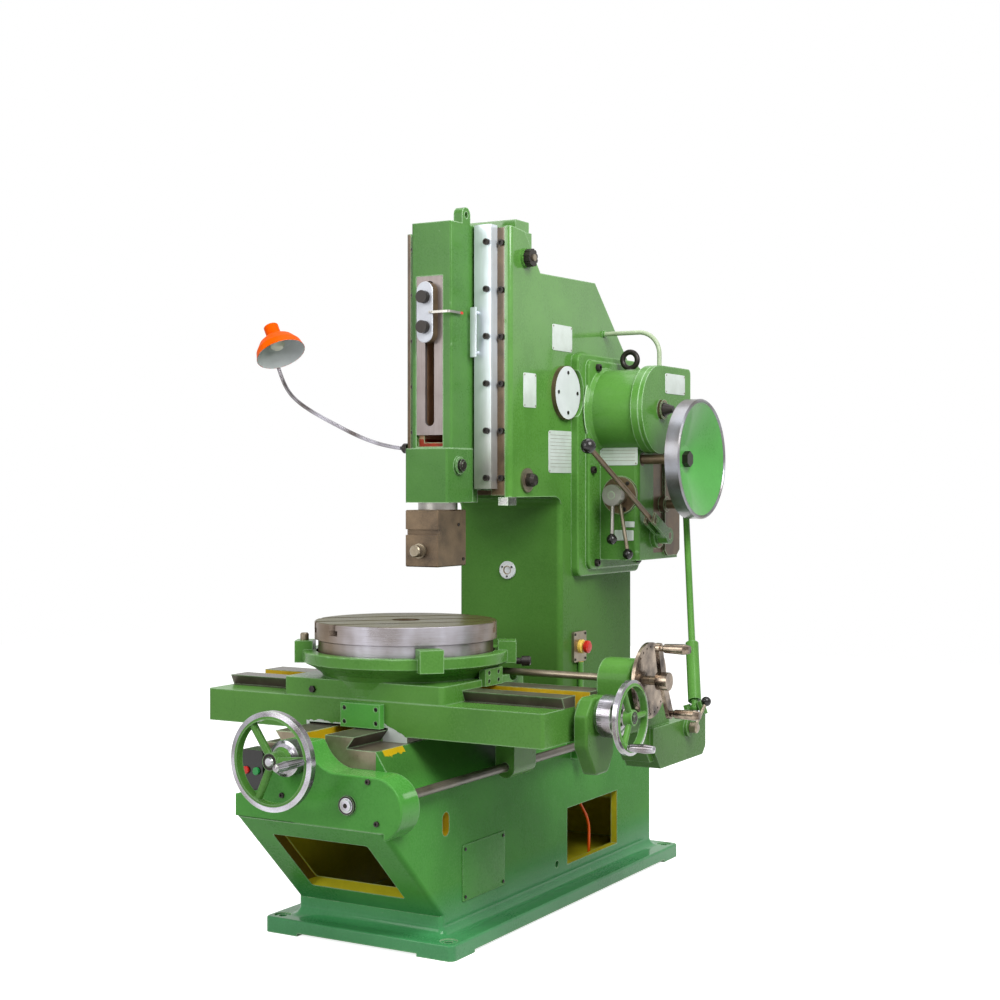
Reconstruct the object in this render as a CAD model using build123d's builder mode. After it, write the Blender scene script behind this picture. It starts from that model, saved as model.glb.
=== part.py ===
from build123d import *
from math import atan2, cos, degrees, hypot, pi, radians, sin
import os

os.makedirs("parts", exist_ok=True)

# Vertical slotting machine, 200 mm stroke, 500 mm rotary table.
# Millimetres. +X is the machine's right, +Y its back, +Z up.
# The origin is on the floor at the middle of the base plate.

# Bed and base plate
plate_width = 600
plate_length = 1404
plate_height = 42
plate_relief = 8
foot_size = 110
bolt_spacing_x = 530
bolt_spacing_y = 1330
bolt_hole = 22
bolt_spot_face = 46
bed_half = 230
bed_back = 640
bed_wall = 22
riser_front = -642
riser_top = 93
nose_front = -910
nose_bottom = 356
nose_back = -828
shelf_top = 511
way_base = 540
way_top = 571
way_half = 125
way_undercut = 24
way_x = -40
trough_half = 34
trough_floor = 482
shoulder_z = 420
way_left = -195
way_right = 150
way_end = 60

# Column
column_half = 178
column_wall = 20
column_front = 113
column_back = 607
overhang_z = 1175
cheek_front = -190
cheek_top = 1947
pocket_back = 95
pivot_y = 133
pivot_z = 1487
pivot_cover_radius = 81
pivot_pin_radius = 35

# Guide head and ram
head_half = 157
head_bottom = 1180
head_top = 1945
ledge_front = -187
ledge_inner = 112
channel_floor = -119.9
head_back = -30
keeper_front = -222
keeper_inner = 76
keeper_outer = 132
keeper_bottom = 1199
keeper_bolt_first = 1230
keeper_bolt_pitch = 134
keeper_bolt_count = 6
slide_gap = 0.1
ram_half = 67
ram_front = -330
ram_top = 1951
ram_bottom = 1160
block_half = 70
block_front = -359
block_back = -218
block_top = 1313
recess_half = 44
plate_x = -6
recess_bottom = 1317
recess_top = 1799
face_plate_bottom = 1351
face_plate_thick = 12
slot_half = 15
clamp_z = 1695
clamp_width = 54
clamp_height = 172
clamp_thick = 28

# Tool head
swivel_y = -295
spigot_radius = 40
tool_half = 54
tool_front = -382
tool_back = -229
tool_bottom = 981
tool_top = 1140

# Saddle, cross slide and table
table_x = 0
table_y = -460
table_top = 840
table_radius = 250
table_band = 792
table_neck = 745.1
neck_radius = 240
saddle_left = -515
saddle_right = 548
saddle_front = -678
saddle_back = -242
saddle_bottom = 556
saddle_top = 644
cross_way_top = 672
cross_way_half = 120
cross_way_undercut = 14
cross_half = 255
rim_radius = 280
rim_inner = 246
rim_bottom = 728
rim_top = 759
slide_floor = 745
spindle_radius = 60
wheel_pocket = 140
wheel_floor = 684
cross_screw_y = -465
cross_screw_z = 619
worm_y = -310
worm_z = 697
t_slot_turn = 45

# Shafts, wheels and handles
screw_z = 525
screw_radius = 16
front_wheel_y = -1000
front_wheel_radius = 125
cross_wheel_x = 684
cross_wheel_radius = 96
spline_x = 262
spline_z = 443
spline_radius = 12
run_fit = 0.05
slide_fit = 0.4

# Gearbox and drive
flange_right = 203
step_right = 216
drum_y = 345
drum_z = 1440
drum_radius = 125
drum_right = 385
cover_radius = 135
cover_right = 400
cover_back = 570
cover_bottom = 1312
eye_x = 265
eye_y = 410
box_right = 345
box_front = 300
box_back = 600
box_bottom = 980
barring_y = 330
barring_z = 1288
barring_radius = 180
input_y = 480
input_z = 1090
selector_x = 290
selector_z = 1179
clutch_y = 420
clutch_z = 1053
gear_module = 5
bull_teeth = 48
pinion_teeth = 13
motor_y = 480
motor_z = 345
rocker_y = 545
rocker_tip_y = -70
rocker_tip_rise = 80

# Feed drive: a telescopic shaft between two universal joints
feed_low = Vector(620, 95, 575)
feed_high = Vector(428, 468, 1150)
feed_run = (feed_high - feed_low).normalized()
feed_length = (feed_high - feed_low).length
feed_pin = Vector(feed_run.Z, 0, -feed_run.X).normalized()
feed_pin_tilt = degrees(atan2(feed_pin.Z, feed_pin.X))


def span(x, y, z, mode=Mode.ADD):
    """Block between two limits on each axis"""
    with Locations(((x[0] + x[1]) / 2, (y[0] + y[1]) / 2, (z[0] + z[1]) / 2)):
        Box(x[1] - x[0], y[1] - y[0], z[1] - z[0], mode=mode)


def bar_x(limits, y, z, radius, mode=Mode.ADD):
    """Round bar along X"""
    with Locations(((limits[0] + limits[1]) / 2, y, z)):
        Cylinder(radius, limits[1] - limits[0], rotation=(0, 90, 0), mode=mode)


def bar_y(limits, x, z, radius, mode=Mode.ADD):
    """Round bar along Y"""
    with Locations((x, (limits[0] + limits[1]) / 2, z)):
        Cylinder(radius, limits[1] - limits[0], rotation=(90, 0, 0), mode=mode)


def bar_z(limits, x, y, radius, mode=Mode.ADD):
    """Round bar along Z"""
    with Locations((x, y, (limits[0] + limits[1]) / 2)):
        Cylinder(radius, limits[1] - limits[0], mode=mode)


def bar_between(start, end, radius, mode=Mode.ADD):
    """Round bar from one point to another"""
    start, end = Vector(*start), Vector(*end)
    run = end - start
    with BuildSketch(Plane(origin=start, z_dir=run)) as section:
        Circle(radius)
    extrude(section.sketch, amount=run.length, mode=mode)


def side_prism(points, x, mode=Mode.ADD):
    """Prism along X over an outline of (Y, Z) points"""
    with BuildSketch(Plane.YZ.offset(x[0])) as outline:
        with BuildLine():
            Polyline(*points, close=True)
        make_face()
    extrude(outline.sketch, amount=x[1] - x[0], mode=mode)


def front_prism(points, y, mode=Mode.ADD):
    """Prism along Y over an outline of (X, Z) points"""
    with BuildSketch(Plane.XZ.offset(-y[1])) as outline:
        with BuildLine():
            Polyline(*points, close=True)
        make_face()
    extrude(outline.sketch, amount=y[1] - y[0], mode=mode)


def turned(points, origin, direction, mode=Mode.ADD):
    """Solid turned about an axis, from points given as (distance along the axis, radius)"""
    direction = Vector(*direction)
    across = Vector(1, 0, 0) if abs(direction.X) < 0.5 else Vector(0, -1, 0)
    plane = Plane(origin=origin, x_dir=direction, z_dir=across.cross(direction))
    with BuildSketch(plane) as profile:
        with BuildLine():
            Polyline(*points, close=True)
        make_face()
    revolve(profile.sketch, axis=Axis(origin, direction), mode=mode)


def hex_nut(x, y, z, direction, across, thick):
    """Hexagonal head or nut standing on a point"""
    with BuildSketch(Plane(origin=(x, y, z), z_dir=direction)) as outline:
        RegularPolygon(across / 2, 6, major_radius=False)
    extrude(outline.sketch, amount=thick)


# Bed: hollow casting on a flat base plate, with an overhanging slanted nose
slant_run = Vector(0, nose_front - riser_front, nose_bottom - riser_top)
slant_middle = Vector(0, (nose_front + riser_front) / 2, (nose_bottom + riser_top) / 2)
slant_normal = Vector(1, 0, 0).cross(slant_run).normalized()
window_y = (55, 390)
window_z = (92, 257)
spline_bearing_y = (78, 108)

cavity_floor = plate_height + 16
cavity_roof = 462
cavity_half = bed_half - bed_wall

# The bed's hollow follows the slanted nose at the front and the sloping shoulders at both sides
with BuildPart() as bed_cavity:
    side_prism([(riser_front + 30, cavity_floor), (riser_front + 30, riser_top + 12.5),
                (nose_front + 72, nose_bottom - 29), (nose_back + 30, nose_bottom - 29),
                (nose_back + 30, cavity_roof), (bed_back - bed_wall, cavity_roof),
                (bed_back - bed_wall, cavity_floor)], (-cavity_half, cavity_half))
    front_prism([(-cavity_half, cavity_floor), (-cavity_half, 400), (-150, cavity_roof), (150, cavity_roof),
                 (cavity_half, 400), (cavity_half, cavity_floor)], (nose_front, bed_back), Mode.INTERSECT)

with BuildPart() as bed:
    with BuildSketch():
        RectangleRounded(plate_width, plate_length, 18)
    extrude(amount=plate_height)
    fillet(bed.faces().sort_by(Axis.Z)[-1].edges(), 6)
    span((-plate_width / 2, plate_width / 2),
         (foot_size - plate_length / 2, plate_length / 2 - foot_size), (-1, plate_relief), Mode.SUBTRACT)
    span((foot_size - plate_width / 2, plate_width / 2 - foot_size),
         (-plate_length / 2, plate_length / 2), (-1, plate_relief), Mode.SUBTRACT)
    side_prism([(riser_front, plate_height), (riser_front, riser_top), (nose_front, nose_bottom),
                (nose_back, nose_bottom), (nose_back, shelf_top), (bed_back, shelf_top),
                (bed_back, plate_height)], (-bed_half, bed_half))
    corner_edges = bed.edges().filter_by(
        lambda e: abs(abs(e.center().X) - bed_half) < 1 and abs((e % 0.5).Z) > 0.3
        and (nose_back + 10 < e.center().Y < riser_front + 1 or e.center().Y > bed_back - 1))
    fillet(corner_edges, 14)
    foot_edges = (bed.edges().filter_by_position(Axis.Z, plate_height, plate_height)
                  .filter_by(lambda e: abs(e.center().X) <= bed_half + 1 and abs(e.center().Y) < 690))
    fillet(foot_edges, 26)
    for side, edge_x in ((-1, way_left), (1, way_right)):
        front_prism([(edge_x, shelf_top + 1), (side * (bed_half + 1), shoulder_z),
                     (side * (bed_half + 1), shelf_top + 1)], (nose_back - 1, column_front - 20),
                    Mode.SUBTRACT)
    front_prism([(-bed_half, shoulder_z), (way_left, way_base), (way_right, way_base),
                 (bed_half, shoulder_z)], (nose_back, column_front))
    add(bed_cavity.part, mode=Mode.SUBTRACT)
    front_prism([(way_x - way_half + way_undercut, way_base), (way_x - way_half, way_top),
                 (way_x + way_half, way_top), (way_x + way_half - way_undercut, way_base)],
                (nose_back, way_end))
    span((way_x - trough_half, way_x + trough_half), (nose_back - 1, way_end + 1),
         (trough_floor, way_top + 1), Mode.SUBTRACT)
    with BuildSketch(Plane(origin=slant_middle, x_dir=(1, 0, 0), z_dir=slant_normal)):
        RectangleRounded(296, 240, 8)
    extrude(amount=60, both=True, mode=Mode.SUBTRACT)
    span((bed_half - 40, bed_half + 1), window_y, window_z, Mode.SUBTRACT)
    with BuildSketch(Plane.YZ.offset(bed_half - 40)):
        with Locations((-622, 330)):
            SlotOverall(62, 34, rotation=90)
        with Locations((-9, 105)):
            Circle(10)
    extrude(amount=60, mode=Mode.SUBTRACT)
    span((-60, 157), (365, 585), (450, shelf_top + 1), Mode.SUBTRACT)
    span((-bed_half + bed_wall, bed_half - bed_wall), (400, bed_back - bed_wall), (229, 245))
    span((bed_half - 20, spline_x + 22), spline_bearing_y, (400, spline_z + 24))
    bar_y(spline_bearing_y, spline_x, spline_z, spline_radius + run_fit, Mode.SUBTRACT)
    with Locations((0, 0, plate_height)):
        with GridLocations(bolt_spacing_x, bolt_spacing_y, 2, 2):
            CounterBoreHole(bolt_hole / 2, bolt_spot_face / 2, 3, plate_height)
bed.part.label = "bed"
export_step(bed.part, "parts/bed.step")

# Front gear cover: joins the spline shaft to the longitudinal screw at the nose of the bed
lobe_x = 202
lobe_z = 412
lobe_radius = 80
screw_boss_radius = 36
with BuildPart() as front_gear_cover:
    with BuildSketch(Plane.XZ.offset(-nose_back)) as cover_outline:
        with BuildLine():
            Polyline((lobe_x, lobe_z + lobe_radius), (82, lobe_z + lobe_radius))
            ThreePointArc((82, lobe_z + lobe_radius), (30, 513), (0, 550))
            Polyline((0, 550), (-8, screw_z + 36), (way_x - 50, screw_z + 36), (-150, 430),
                     (-bed_half - 3, 413), (-bed_half - 3, nose_bottom), (-50, nose_bottom),
                     (30, lobe_z - lobe_radius), (lobe_x, lobe_z - lobe_radius))
            ThreePointArc((lobe_x, lobe_z - lobe_radius), (lobe_x + lobe_radius, lobe_z),
                          (lobe_x, lobe_z + lobe_radius))
        make_face()
        with Locations((way_x, screw_z)):
            Circle(screw_boss_radius)
    extrude(amount=nose_back - nose_front)
    fillet(front_gear_cover.faces().sort_by(Axis.Y)[0].edges(), 5)
    span((-bed_half - 4, bed_half), (nose_front - 1, nose_back + 1), (nose_bottom - 60, nose_bottom),
         Mode.SUBTRACT)
    bar_y((nose_front - 8, nose_front), 123, 417, 24)
    bar_y((nose_front - 12, nose_front - 8), 123, 417, 15)
    bar_y((nose_front - 1, nose_back + 1), way_x, screw_z, screw_radius + run_fit, Mode.SUBTRACT)
    bar_y((nose_back - 60, nose_back + 1), spline_x, spline_z, spline_radius + run_fit, Mode.SUBTRACT)
front_gear_cover.part.label = "front_gear_cover"
export_step(front_gear_cover.part, "parts/front_gear_cover.step")

# Push button station beside the front gear cover
station_x = (-222, -150)
station_y = (nose_front + 10, nose_front + 70)
station_z = (436, 528)
station_foot = 413
station_slope = 17 / 83
with BuildPart() as button_station:
    span(station_x, station_y, station_z)
    fillet(button_station.edges().filter_by(Axis.Y), 8)
    front_prism([(station_x[0] + 8, station_z[0] + 2), (-205, station_foot + 28 * station_slope),
                 (-165, station_foot + 68 * station_slope), (station_x[1] - 8, station_z[0] + 2)],
                (station_y[0] + 10, station_y[1] - 5))
    for button_x in (-203, -169):
        bar_y((station_y[0] - 1, station_y[0] + 12), button_x, 475, 10.4, Mode.SUBTRACT)
button_station.part.label = "button_station"
export_step(button_station.part, "parts/button_station.step")

with BuildPart() as stop_button:
    bar_y((station_y[0] - 7, station_y[0] + 5), -203, 475, 10)
    chamfer(stop_button.faces().sort_by(Axis.Y)[0].edges(), 1.5)
stop_button.part.label = "stop_button"
export_step(stop_button.part, "parts/stop_button.step")

with BuildPart() as start_button:
    bar_y((station_y[0] - 7, station_y[0] + 5), -169, 475, 10)
    chamfer(start_button.faces().sort_by(Axis.Y)[0].edges(), 1.5)
start_button.part.label = "start_button"
export_step(start_button.part, "parts/start_button.step")

# Column: hollow casting whose two forward cheeks hold the tilting guide head
clamp_points = ((-105, 1863), (-100, 1224))
stud_radius = 10
with BuildPart() as column:
    side_prism([(column_front, shelf_top), (column_front, overhang_z), (cheek_front, overhang_z),
                (cheek_front, cheek_top), (-108, cheek_top - 7), (-15, 1830), (340, 1838),
                (column_back, 1580), (column_back, shelf_top)], (-column_half, column_half))
    fillet(column.edges().filter_by(Axis.Z).filter_by(lambda e: e.center().Y < cheek_front + 1), 14)
    fillet(column.edges().filter_by(Axis.Z).filter_by(lambda e: column_front - 1 < e.center().Y), 16)
    fillet(column.edges().filter_by(Axis.X).filter_by(
        lambda e: abs(e.center().Y - column_front) < 1 and abs(e.center().Z - overhang_z) < 1), 38)
    span((column_wall - column_half, column_half - column_wall), (cheek_front - 1, pocket_back),
         (overhang_z - 5, cheek_top + 1), Mode.SUBTRACT)
    side_prism([(column_front + 22, shelf_top - 1), (column_front + 22, 1192), (pocket_back - 1, 1192),
                (pocket_back - 1, 1808), (330, 1814), (column_back - 22, 1568),
                (column_back - 22, shelf_top - 1)],
               (column_wall - column_half, column_half - column_wall), Mode.SUBTRACT)
    bar_x((-column_half - 1, column_half + 1), pivot_y, pivot_z, pivot_pin_radius, Mode.SUBTRACT)
    for place_y, place_z in clamp_points:
        bar_x((-column_half - 1, column_half + 1), place_y, place_z, stud_radius + run_fit, Mode.SUBTRACT)
    span((146, column_half), (-206, -158), (1152, overhang_z))
    bar_x((column_half - 30, column_half + 1), drum_y, drum_z, 46, Mode.SUBTRACT)
    bar_x((column_half - 30, column_half + 1), barring_y, barring_z, 44, Mode.SUBTRACT)
    bar_x((column_half - 30, column_half + 1), input_y, input_z, 30, Mode.SUBTRACT)
    bar_x((column_half, column_half + 8), 400, 1684, 11)
column.part.label = "column"
export_step(column.part, "parts/column.step")

# Pivot pins: flanged trunnions that carry the head's two ears, each with a round cover
with BuildPart() as pivot_pins:
    for side in (-1, 1):
        turned([(120, 0), (120, pivot_pin_radius), (column_half, pivot_pin_radius),
                (column_half, pivot_cover_radius), (column_half + 14, pivot_cover_radius),
                (column_half + 14, 0)], (0, pivot_y, pivot_z), (side, 0, 0))
pivot_pins.part.label = "pivot_pins"
export_step(pivot_pins.part, "parts/pivot_pins.step")

# Oil sight glass on the front of the column
with BuildPart() as oil_sight:
    turned([(0, 0), (0, 27), (6, 27), (7, 25), (7, 12), (4, 12), (4, 0)],
           (-4, column_front, 951), (0, -1, 0))
oil_sight.part.label = "oil_sight"
export_step(oil_sight.part, "parts/oil_sight.step")

# Emergency stop: box with a collar on the side of the column, and its conduit
stop_y = 223
stop_z = 718
with BuildPart() as stop_box:
    span((column_half, column_half + 9), (stop_y - 41, stop_y + 41), (stop_z - 46, stop_z + 46))
    fillet(stop_box.edges().filter_by(Axis.X), 6)
    bar_x((column_half + 9, column_half + 22), stop_y, stop_z, 21)
    chamfer(stop_box.faces().sort_by(Axis.X)[-1].edges(), 3)
    bar_x((column_half + 5, column_half + 23), stop_y, stop_z, 9.4, Mode.SUBTRACT)
    bar_z((590, stop_z - 46), column_half + 10, stop_y, 9)
stop_box.part.label = "stop_box"
export_step(stop_box.part, "parts/stop_box.step")

with BuildPart() as stop_mushroom:
    turned([(column_half + 11, 0), (column_half + 11, 9), (column_half + 29, 9), (column_half + 29, 19),
            (column_half + 38, 19), (column_half + 42, 13), (column_half + 43, 0)],
           (0, stop_y, stop_z), (1, 0, 0))
stop_mushroom.part.label = "stop_mushroom"
export_step(stop_mushroom.part, "parts/stop_mushroom.step")

# Guide head: the tilting box that guides the ram, hung on two ears
ear_inner = 120.5
stud_end = 127
with BuildPart() as guide_head:
    span((-head_half, head_half), (channel_floor, head_back), (head_bottom, head_top))
    for side in (-1, 1):
        ledge = sorted((side * ledge_inner, side * head_half))
        span(ledge, (ledge_front, channel_floor), (head_bottom, head_top))
        ear = sorted((side * ear_inner, side * head_half))
        span(ear, (head_back, pivot_y), (pivot_z - 60, pivot_z + 60))
        bar_x(ear, pivot_y, pivot_z, 60)
    bar_x((-head_half, head_half), pivot_y, pivot_z, pivot_pin_radius + run_fit, Mode.SUBTRACT)
    span((-ear_inner + 1, ear_inner - 1), (head_back, pivot_y + 70), (pivot_z - 70, pivot_z + 70),
         Mode.SUBTRACT)
    span((-45, 45), (channel_floor - 1, head_back + 1), (1290, 1870), Mode.SUBTRACT)
    span((-head_half + 7, head_half - 7), (channel_floor + 8, head_back - 4), (head_top, head_top + 32))
    for place_y, place_z in clamp_points:
        reach = hypot(place_y - pivot_y, place_z - pivot_z)
        start = degrees(atan2(place_z - pivot_z, place_y - pivot_y))
        angles = [radians(start - 0.5 + 1.5 * step) for step in range(7)]
        arc = [(pivot_y + (reach + 11) * cos(a), pivot_z + (reach + 11) * sin(a)) for a in angles]
        arc += [(pivot_y + (reach - 11) * cos(a), pivot_z + (reach - 11) * sin(a)) for a in angles[::-1]]
        for side in (-1, 1):
            depth = sorted((side * (stud_end - 1), side * (head_half + 1)))
            side_prism(arc, depth, Mode.SUBTRACT)
            for a in (angles[0], angles[-1]):
                bar_x(depth, pivot_y + reach * cos(a), pivot_z + reach * sin(a), 11, Mode.SUBTRACT)
guide_head.part.label = "guide_head"
export_step(guide_head.part, "parts/guide_head.step")

# Keeper plates: two steel strips that hold the ram against the head
with BuildPart() as keeper_plates:
    for side in (-1, 1):
        strip = sorted((side * keeper_inner, side * keeper_outer))
        span(strip, (keeper_front, ledge_front), (keeper_bottom, head_top + 5))
keeper_plates.part.label = "keeper_plates"
export_step(keeper_plates.part, "parts/keeper_plates.step")

# Keeper bolts: socket heads on the keepers and on the ledges beside them
with BuildPart() as keeper_bolts:
    for side in (-1, 1):
        for row in range(keeper_bolt_count):
            bolt_z = keeper_bolt_first + row * keeper_bolt_pitch
            for bolt_x, face in ((118, keeper_front), (147, ledge_front)):
                bar_y((face - 9, face), side * bolt_x, bolt_z, 9)
                bar_y((face - 10, face - 5), side * bolt_x, bolt_z, 5, Mode.SUBTRACT)
keeper_bolts.part.label = "keeper_bolts"
export_step(keeper_bolts.part, "parts/keeper_bolts.step")

# Tilt clamps: studs through the cheeks into the head's arc slots; grip nuts above, domed nuts below
with BuildPart() as tilt_clamps:
    for side in (-1, 1):
        for (place_y, place_z), washer in zip(clamp_points, (29, 35)):
            bar_x(sorted((side * stud_end, side * (column_half + 32))), place_y, place_z, stud_radius)
            bar_x(sorted((side * column_half, side * (column_half + 7))), place_y, place_z, washer)
        grip_y, grip_z = clamp_points[0]
        grip = sorted((side * (column_half + 7), side * (column_half + 27)))
        bar_x(grip, grip_y, grip_z, 26)
        with BuildSketch(Plane.YZ.offset(grip[0] - 1)) as grooves:
            with Locations((grip_y, grip_z)):
                with PolarLocations(27, 10):
                    Circle(4)
        extrude(grooves.sketch, amount=22, mode=Mode.SUBTRACT)
        dome_y, dome_z = clamp_points[1]
        turned([(column_half + 7, 0), (column_half + 7, 20), (column_half + 22, 20), (column_half + 32, 15),
                (column_half + 37, 0)], (0, dome_y, dome_z), (side, 0, 0))
tilt_clamps.part.label = "tilt_clamps"
export_step(tilt_clamps.part, "parts/tilt_clamps.step")

# Ram: front box and rear flange, with a recess for its face plate and a lifting lug on top
flange_half = ledge_inner - slide_gap
lug_x = (38, ram_half)
lug_y = -250
lug_z = 1976
with BuildPart() as ram:
    span((-ram_half, ram_half), (ram_front, ledge_front + slide_gap), (ram_bottom, ram_top))
    span((-block_half, block_half), (block_front, block_back), (ram_bottom, block_top))
    fillet(ram.edges().filter_by(Axis.Z).filter_by(lambda e: e.center().Y < ram_front + 1), 7)
    span((-flange_half, flange_half), (ledge_front + slide_gap, channel_floor - slide_gap),
         (head_bottom + 15, ram_top))
    span((plate_x - recess_half, plate_x + recess_half), (ram_front - 1, ram_front + face_plate_thick),
         (recess_bottom, recess_top), Mode.SUBTRACT)
    span((-30, 30), (ram_front, channel_floor + 1), (1330, recess_top - 4), Mode.SUBTRACT)
    span(lug_x, (lug_y - 22, lug_y + 22), (ram_top, lug_z))
    bar_x(lug_x, lug_y, lug_z, 22)
    bar_x((lug_x[0] - 1, lug_x[1] + 1), lug_y, lug_z, 9, Mode.SUBTRACT)
    bar_z((ram_bottom - 1, ram_bottom + 60), 0, swivel_y, spigot_radius + run_fit, Mode.SUBTRACT)
    bar_x((block_half - 1, block_half + 8), -300, 1265, 25)
    turned([(block_half + 8, 0), (block_half + 8, 18), (block_half + 17, 18), (block_half + 22, 12),
            (block_half + 22, 0)], (0, -300, 1265), (1, 0, 0))
ram.part.label = "ram"
export_step(ram.part, "parts/ram.step")

# Ram face plate: the slotted steel plate in the ram's front
with BuildPart() as ram_face_plate:
    span((plate_x - recess_half + 0.1, plate_x + recess_half - 0.1),
         (ram_front + 1, ram_front + face_plate_thick), (face_plate_bottom, recess_top))
    slot_low = 1376
    slot_high = recess_top - 14
    with BuildSketch(Plane.XZ.offset(-ram_front - 20)) as slot_outline:
        with Locations((plate_x, (slot_low + slot_high) / 2)):
            SlotOverall(slot_high - slot_low, 2 * slot_half, rotation=90)
    extrude(slot_outline.sketch, amount=40, mode=Mode.SUBTRACT)
ram_face_plate.part.label = "ram_face_plate"
export_step(ram_face_plate.part, "parts/ram_face_plate.step")

# Clamp plate: ties the ram to its drive block at the chosen height
clamp_back = ram_front + 0.9
clamp_bolt_z = (clamp_z - 42, clamp_z + 42)
with BuildPart() as clamp_plate:
    with BuildSketch(Plane.XZ.offset(-clamp_back)):
        with Locations((plate_x, clamp_z)):
            SlotOverall(clamp_height, clamp_width, rotation=90)
    extrude(amount=clamp_thick)
    chamfer(clamp_plate.faces().sort_by(Axis.Y)[0].edges(), 2)
    for bolt_z in clamp_bolt_z:
        bar_y((clamp_back - clamp_thick - 1, clamp_back + 1), plate_x, bolt_z, 10, Mode.SUBTRACT)
clamp_plate.part.label = "clamp_plate"
export_step(clamp_plate.part, "parts/clamp_plate.step")

# Clamp block: slides inside the ram, with an open fork behind it for the rocker's tip
block_y = (-315, -118)
fork_back = -62
with BuildPart() as clamp_block:
    span((-28, 28), block_y, (clamp_z - 80, clamp_z + 80))
    span((-28, 28), (block_y[1], fork_back), (1440, 1700))
    span((-14, 14), (block_y[1] + 1, fork_back + 1), (1439, 1701), Mode.SUBTRACT)
    for bolt_z in clamp_bolt_z:
        bar_y((block_y[0] - 1, block_y[0] + 40), plate_x, bolt_z, 10, Mode.SUBTRACT)
clamp_block.part.label = "clamp_block"
export_step(clamp_block.part, "parts/clamp_block.step")

# Clamp bolts through the clamp plate and the face plate's slot into the block
with BuildPart() as clamp_bolts:
    for bolt_z in clamp_bolt_z:
        bar_y((clamp_back - clamp_thick - 18, clamp_back - clamp_thick), plate_x, bolt_z, 18)
        bar_y((clamp_back - clamp_thick, block_y[0] + 40), plate_x, bolt_z, 10)
clamp_bolts.part.label = "clamp_bolts"
export_step(clamp_bolts.part, "parts/clamp_bolts.step")

# Tool head: swivels under the ram on a round spigot, open below for the tool shank
with BuildPart() as tool_head:
    span((-tool_half, tool_half), (tool_front, tool_back), (tool_bottom, tool_top))
    chamfer(tool_head.edges(), 3)
    span((-tool_half - 1, tool_half + 1), (tool_front - 1, tool_front + 12), (1070, 1086), Mode.SUBTRACT)
    bar_z((tool_top, ram_bottom - 0.5), 0, swivel_y, 56)
    bar_z((ram_bottom - 0.5, ram_bottom + 58), 0, swivel_y, spigot_radius)
    span((-20, 20), (swivel_y - 20, swivel_y + 20), (tool_bottom - 1, tool_top - 20), Mode.SUBTRACT)
    bar_y((tool_front - 1, swivel_y - 19), -4, 1026, 12 + run_fit, Mode.SUBTRACT)
tool_head.part.label = "tool_head"
export_step(tool_head.part, "parts/tool_head.step")

# Tool screw that holds the shank
with BuildPart() as tool_screw:
    turned([(0, 0), (0, 14), (3, 17), (24, 17), (24, 21), (30, 21), (30, 12), (94, 12), (94, 0)],
           (-4, tool_front - 30.4, 1026), (0, 1, 0))
tool_screw.part.label = "tool_screw"
export_step(tool_screw.part, "parts/tool_screw.step")

# Lamp: gooseneck, shade and bulb, on the left cheek
lamp_root = Vector(-column_half, -175, 1318)
shade_axis = Vector(0.506, -0.17, -0.846).normalized()
shade_rim = Vector(-637, -190, 1613)
shade_height = 74
shade_radius = 77
cap_height = 30
cap_radius = 23
cap_side = Vector(0.5, -0.6, 0.42).normalized()
cap_middle = shade_rim - shade_axis * (shade_height + cap_height / 2)
with BuildPart() as lamp_arm:
    with BuildLine() as lamp_line:
        Spline(lamp_root + Vector(-18, 0, 0), (-430, -190, 1392), (-600, -172, 1478), (-690, -130, 1570),
               cap_middle - cap_side * 55, cap_middle, tangents=[(-1, 0, 0.1), cap_side])
    with BuildSketch(Plane(origin=lamp_line.line @ 0, z_dir=lamp_line.line % 0)):
        Circle(6)
    sweep()
    turned([(0, 0), (0, 15), (14, 15), (20, 10), (20, 0)], lamp_root, (-1, 0, 0))
    bar_between(cap_middle + shade_axis * 60, cap_middle - shade_axis * (cap_height / 2), cap_radius,
                Mode.SUBTRACT)
lamp_arm.part.label = "lamp_arm"
export_step(lamp_arm.part, "parts/lamp_arm.step")

shade_wall = 2
with BuildPart() as lamp_shade:
    turned([(0, shade_radius), (0, shade_radius - shade_wall), (22, 68), (46, 52), (62, 30), (68, 20),
            (shade_height + cap_height - 4, 20), (shade_height + cap_height - 4, 0),
            (shade_height + cap_height, 0), (shade_height + cap_height, cap_radius), (70, cap_radius),
            (64, 33),
            (48, 54), (23, 71)], shade_rim, -shade_axis)
lamp_shade.part.label = "lamp_shade"
export_step(lamp_shade.part, "parts/lamp_shade.step")

with BuildPart() as lamp_bulb:
    turned([(20, 0), (22, 14), (32, 23), (44, 22), (56, 14), (68, 13), (shade_height + cap_height - 4, 13),
            (shade_height + cap_height - 4, 0)], shade_rim, -shade_axis)
lamp_bulb.part.label = "lamp_bulb"
export_step(lamp_bulb.part, "parts/lamp_bulb.step")

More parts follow.
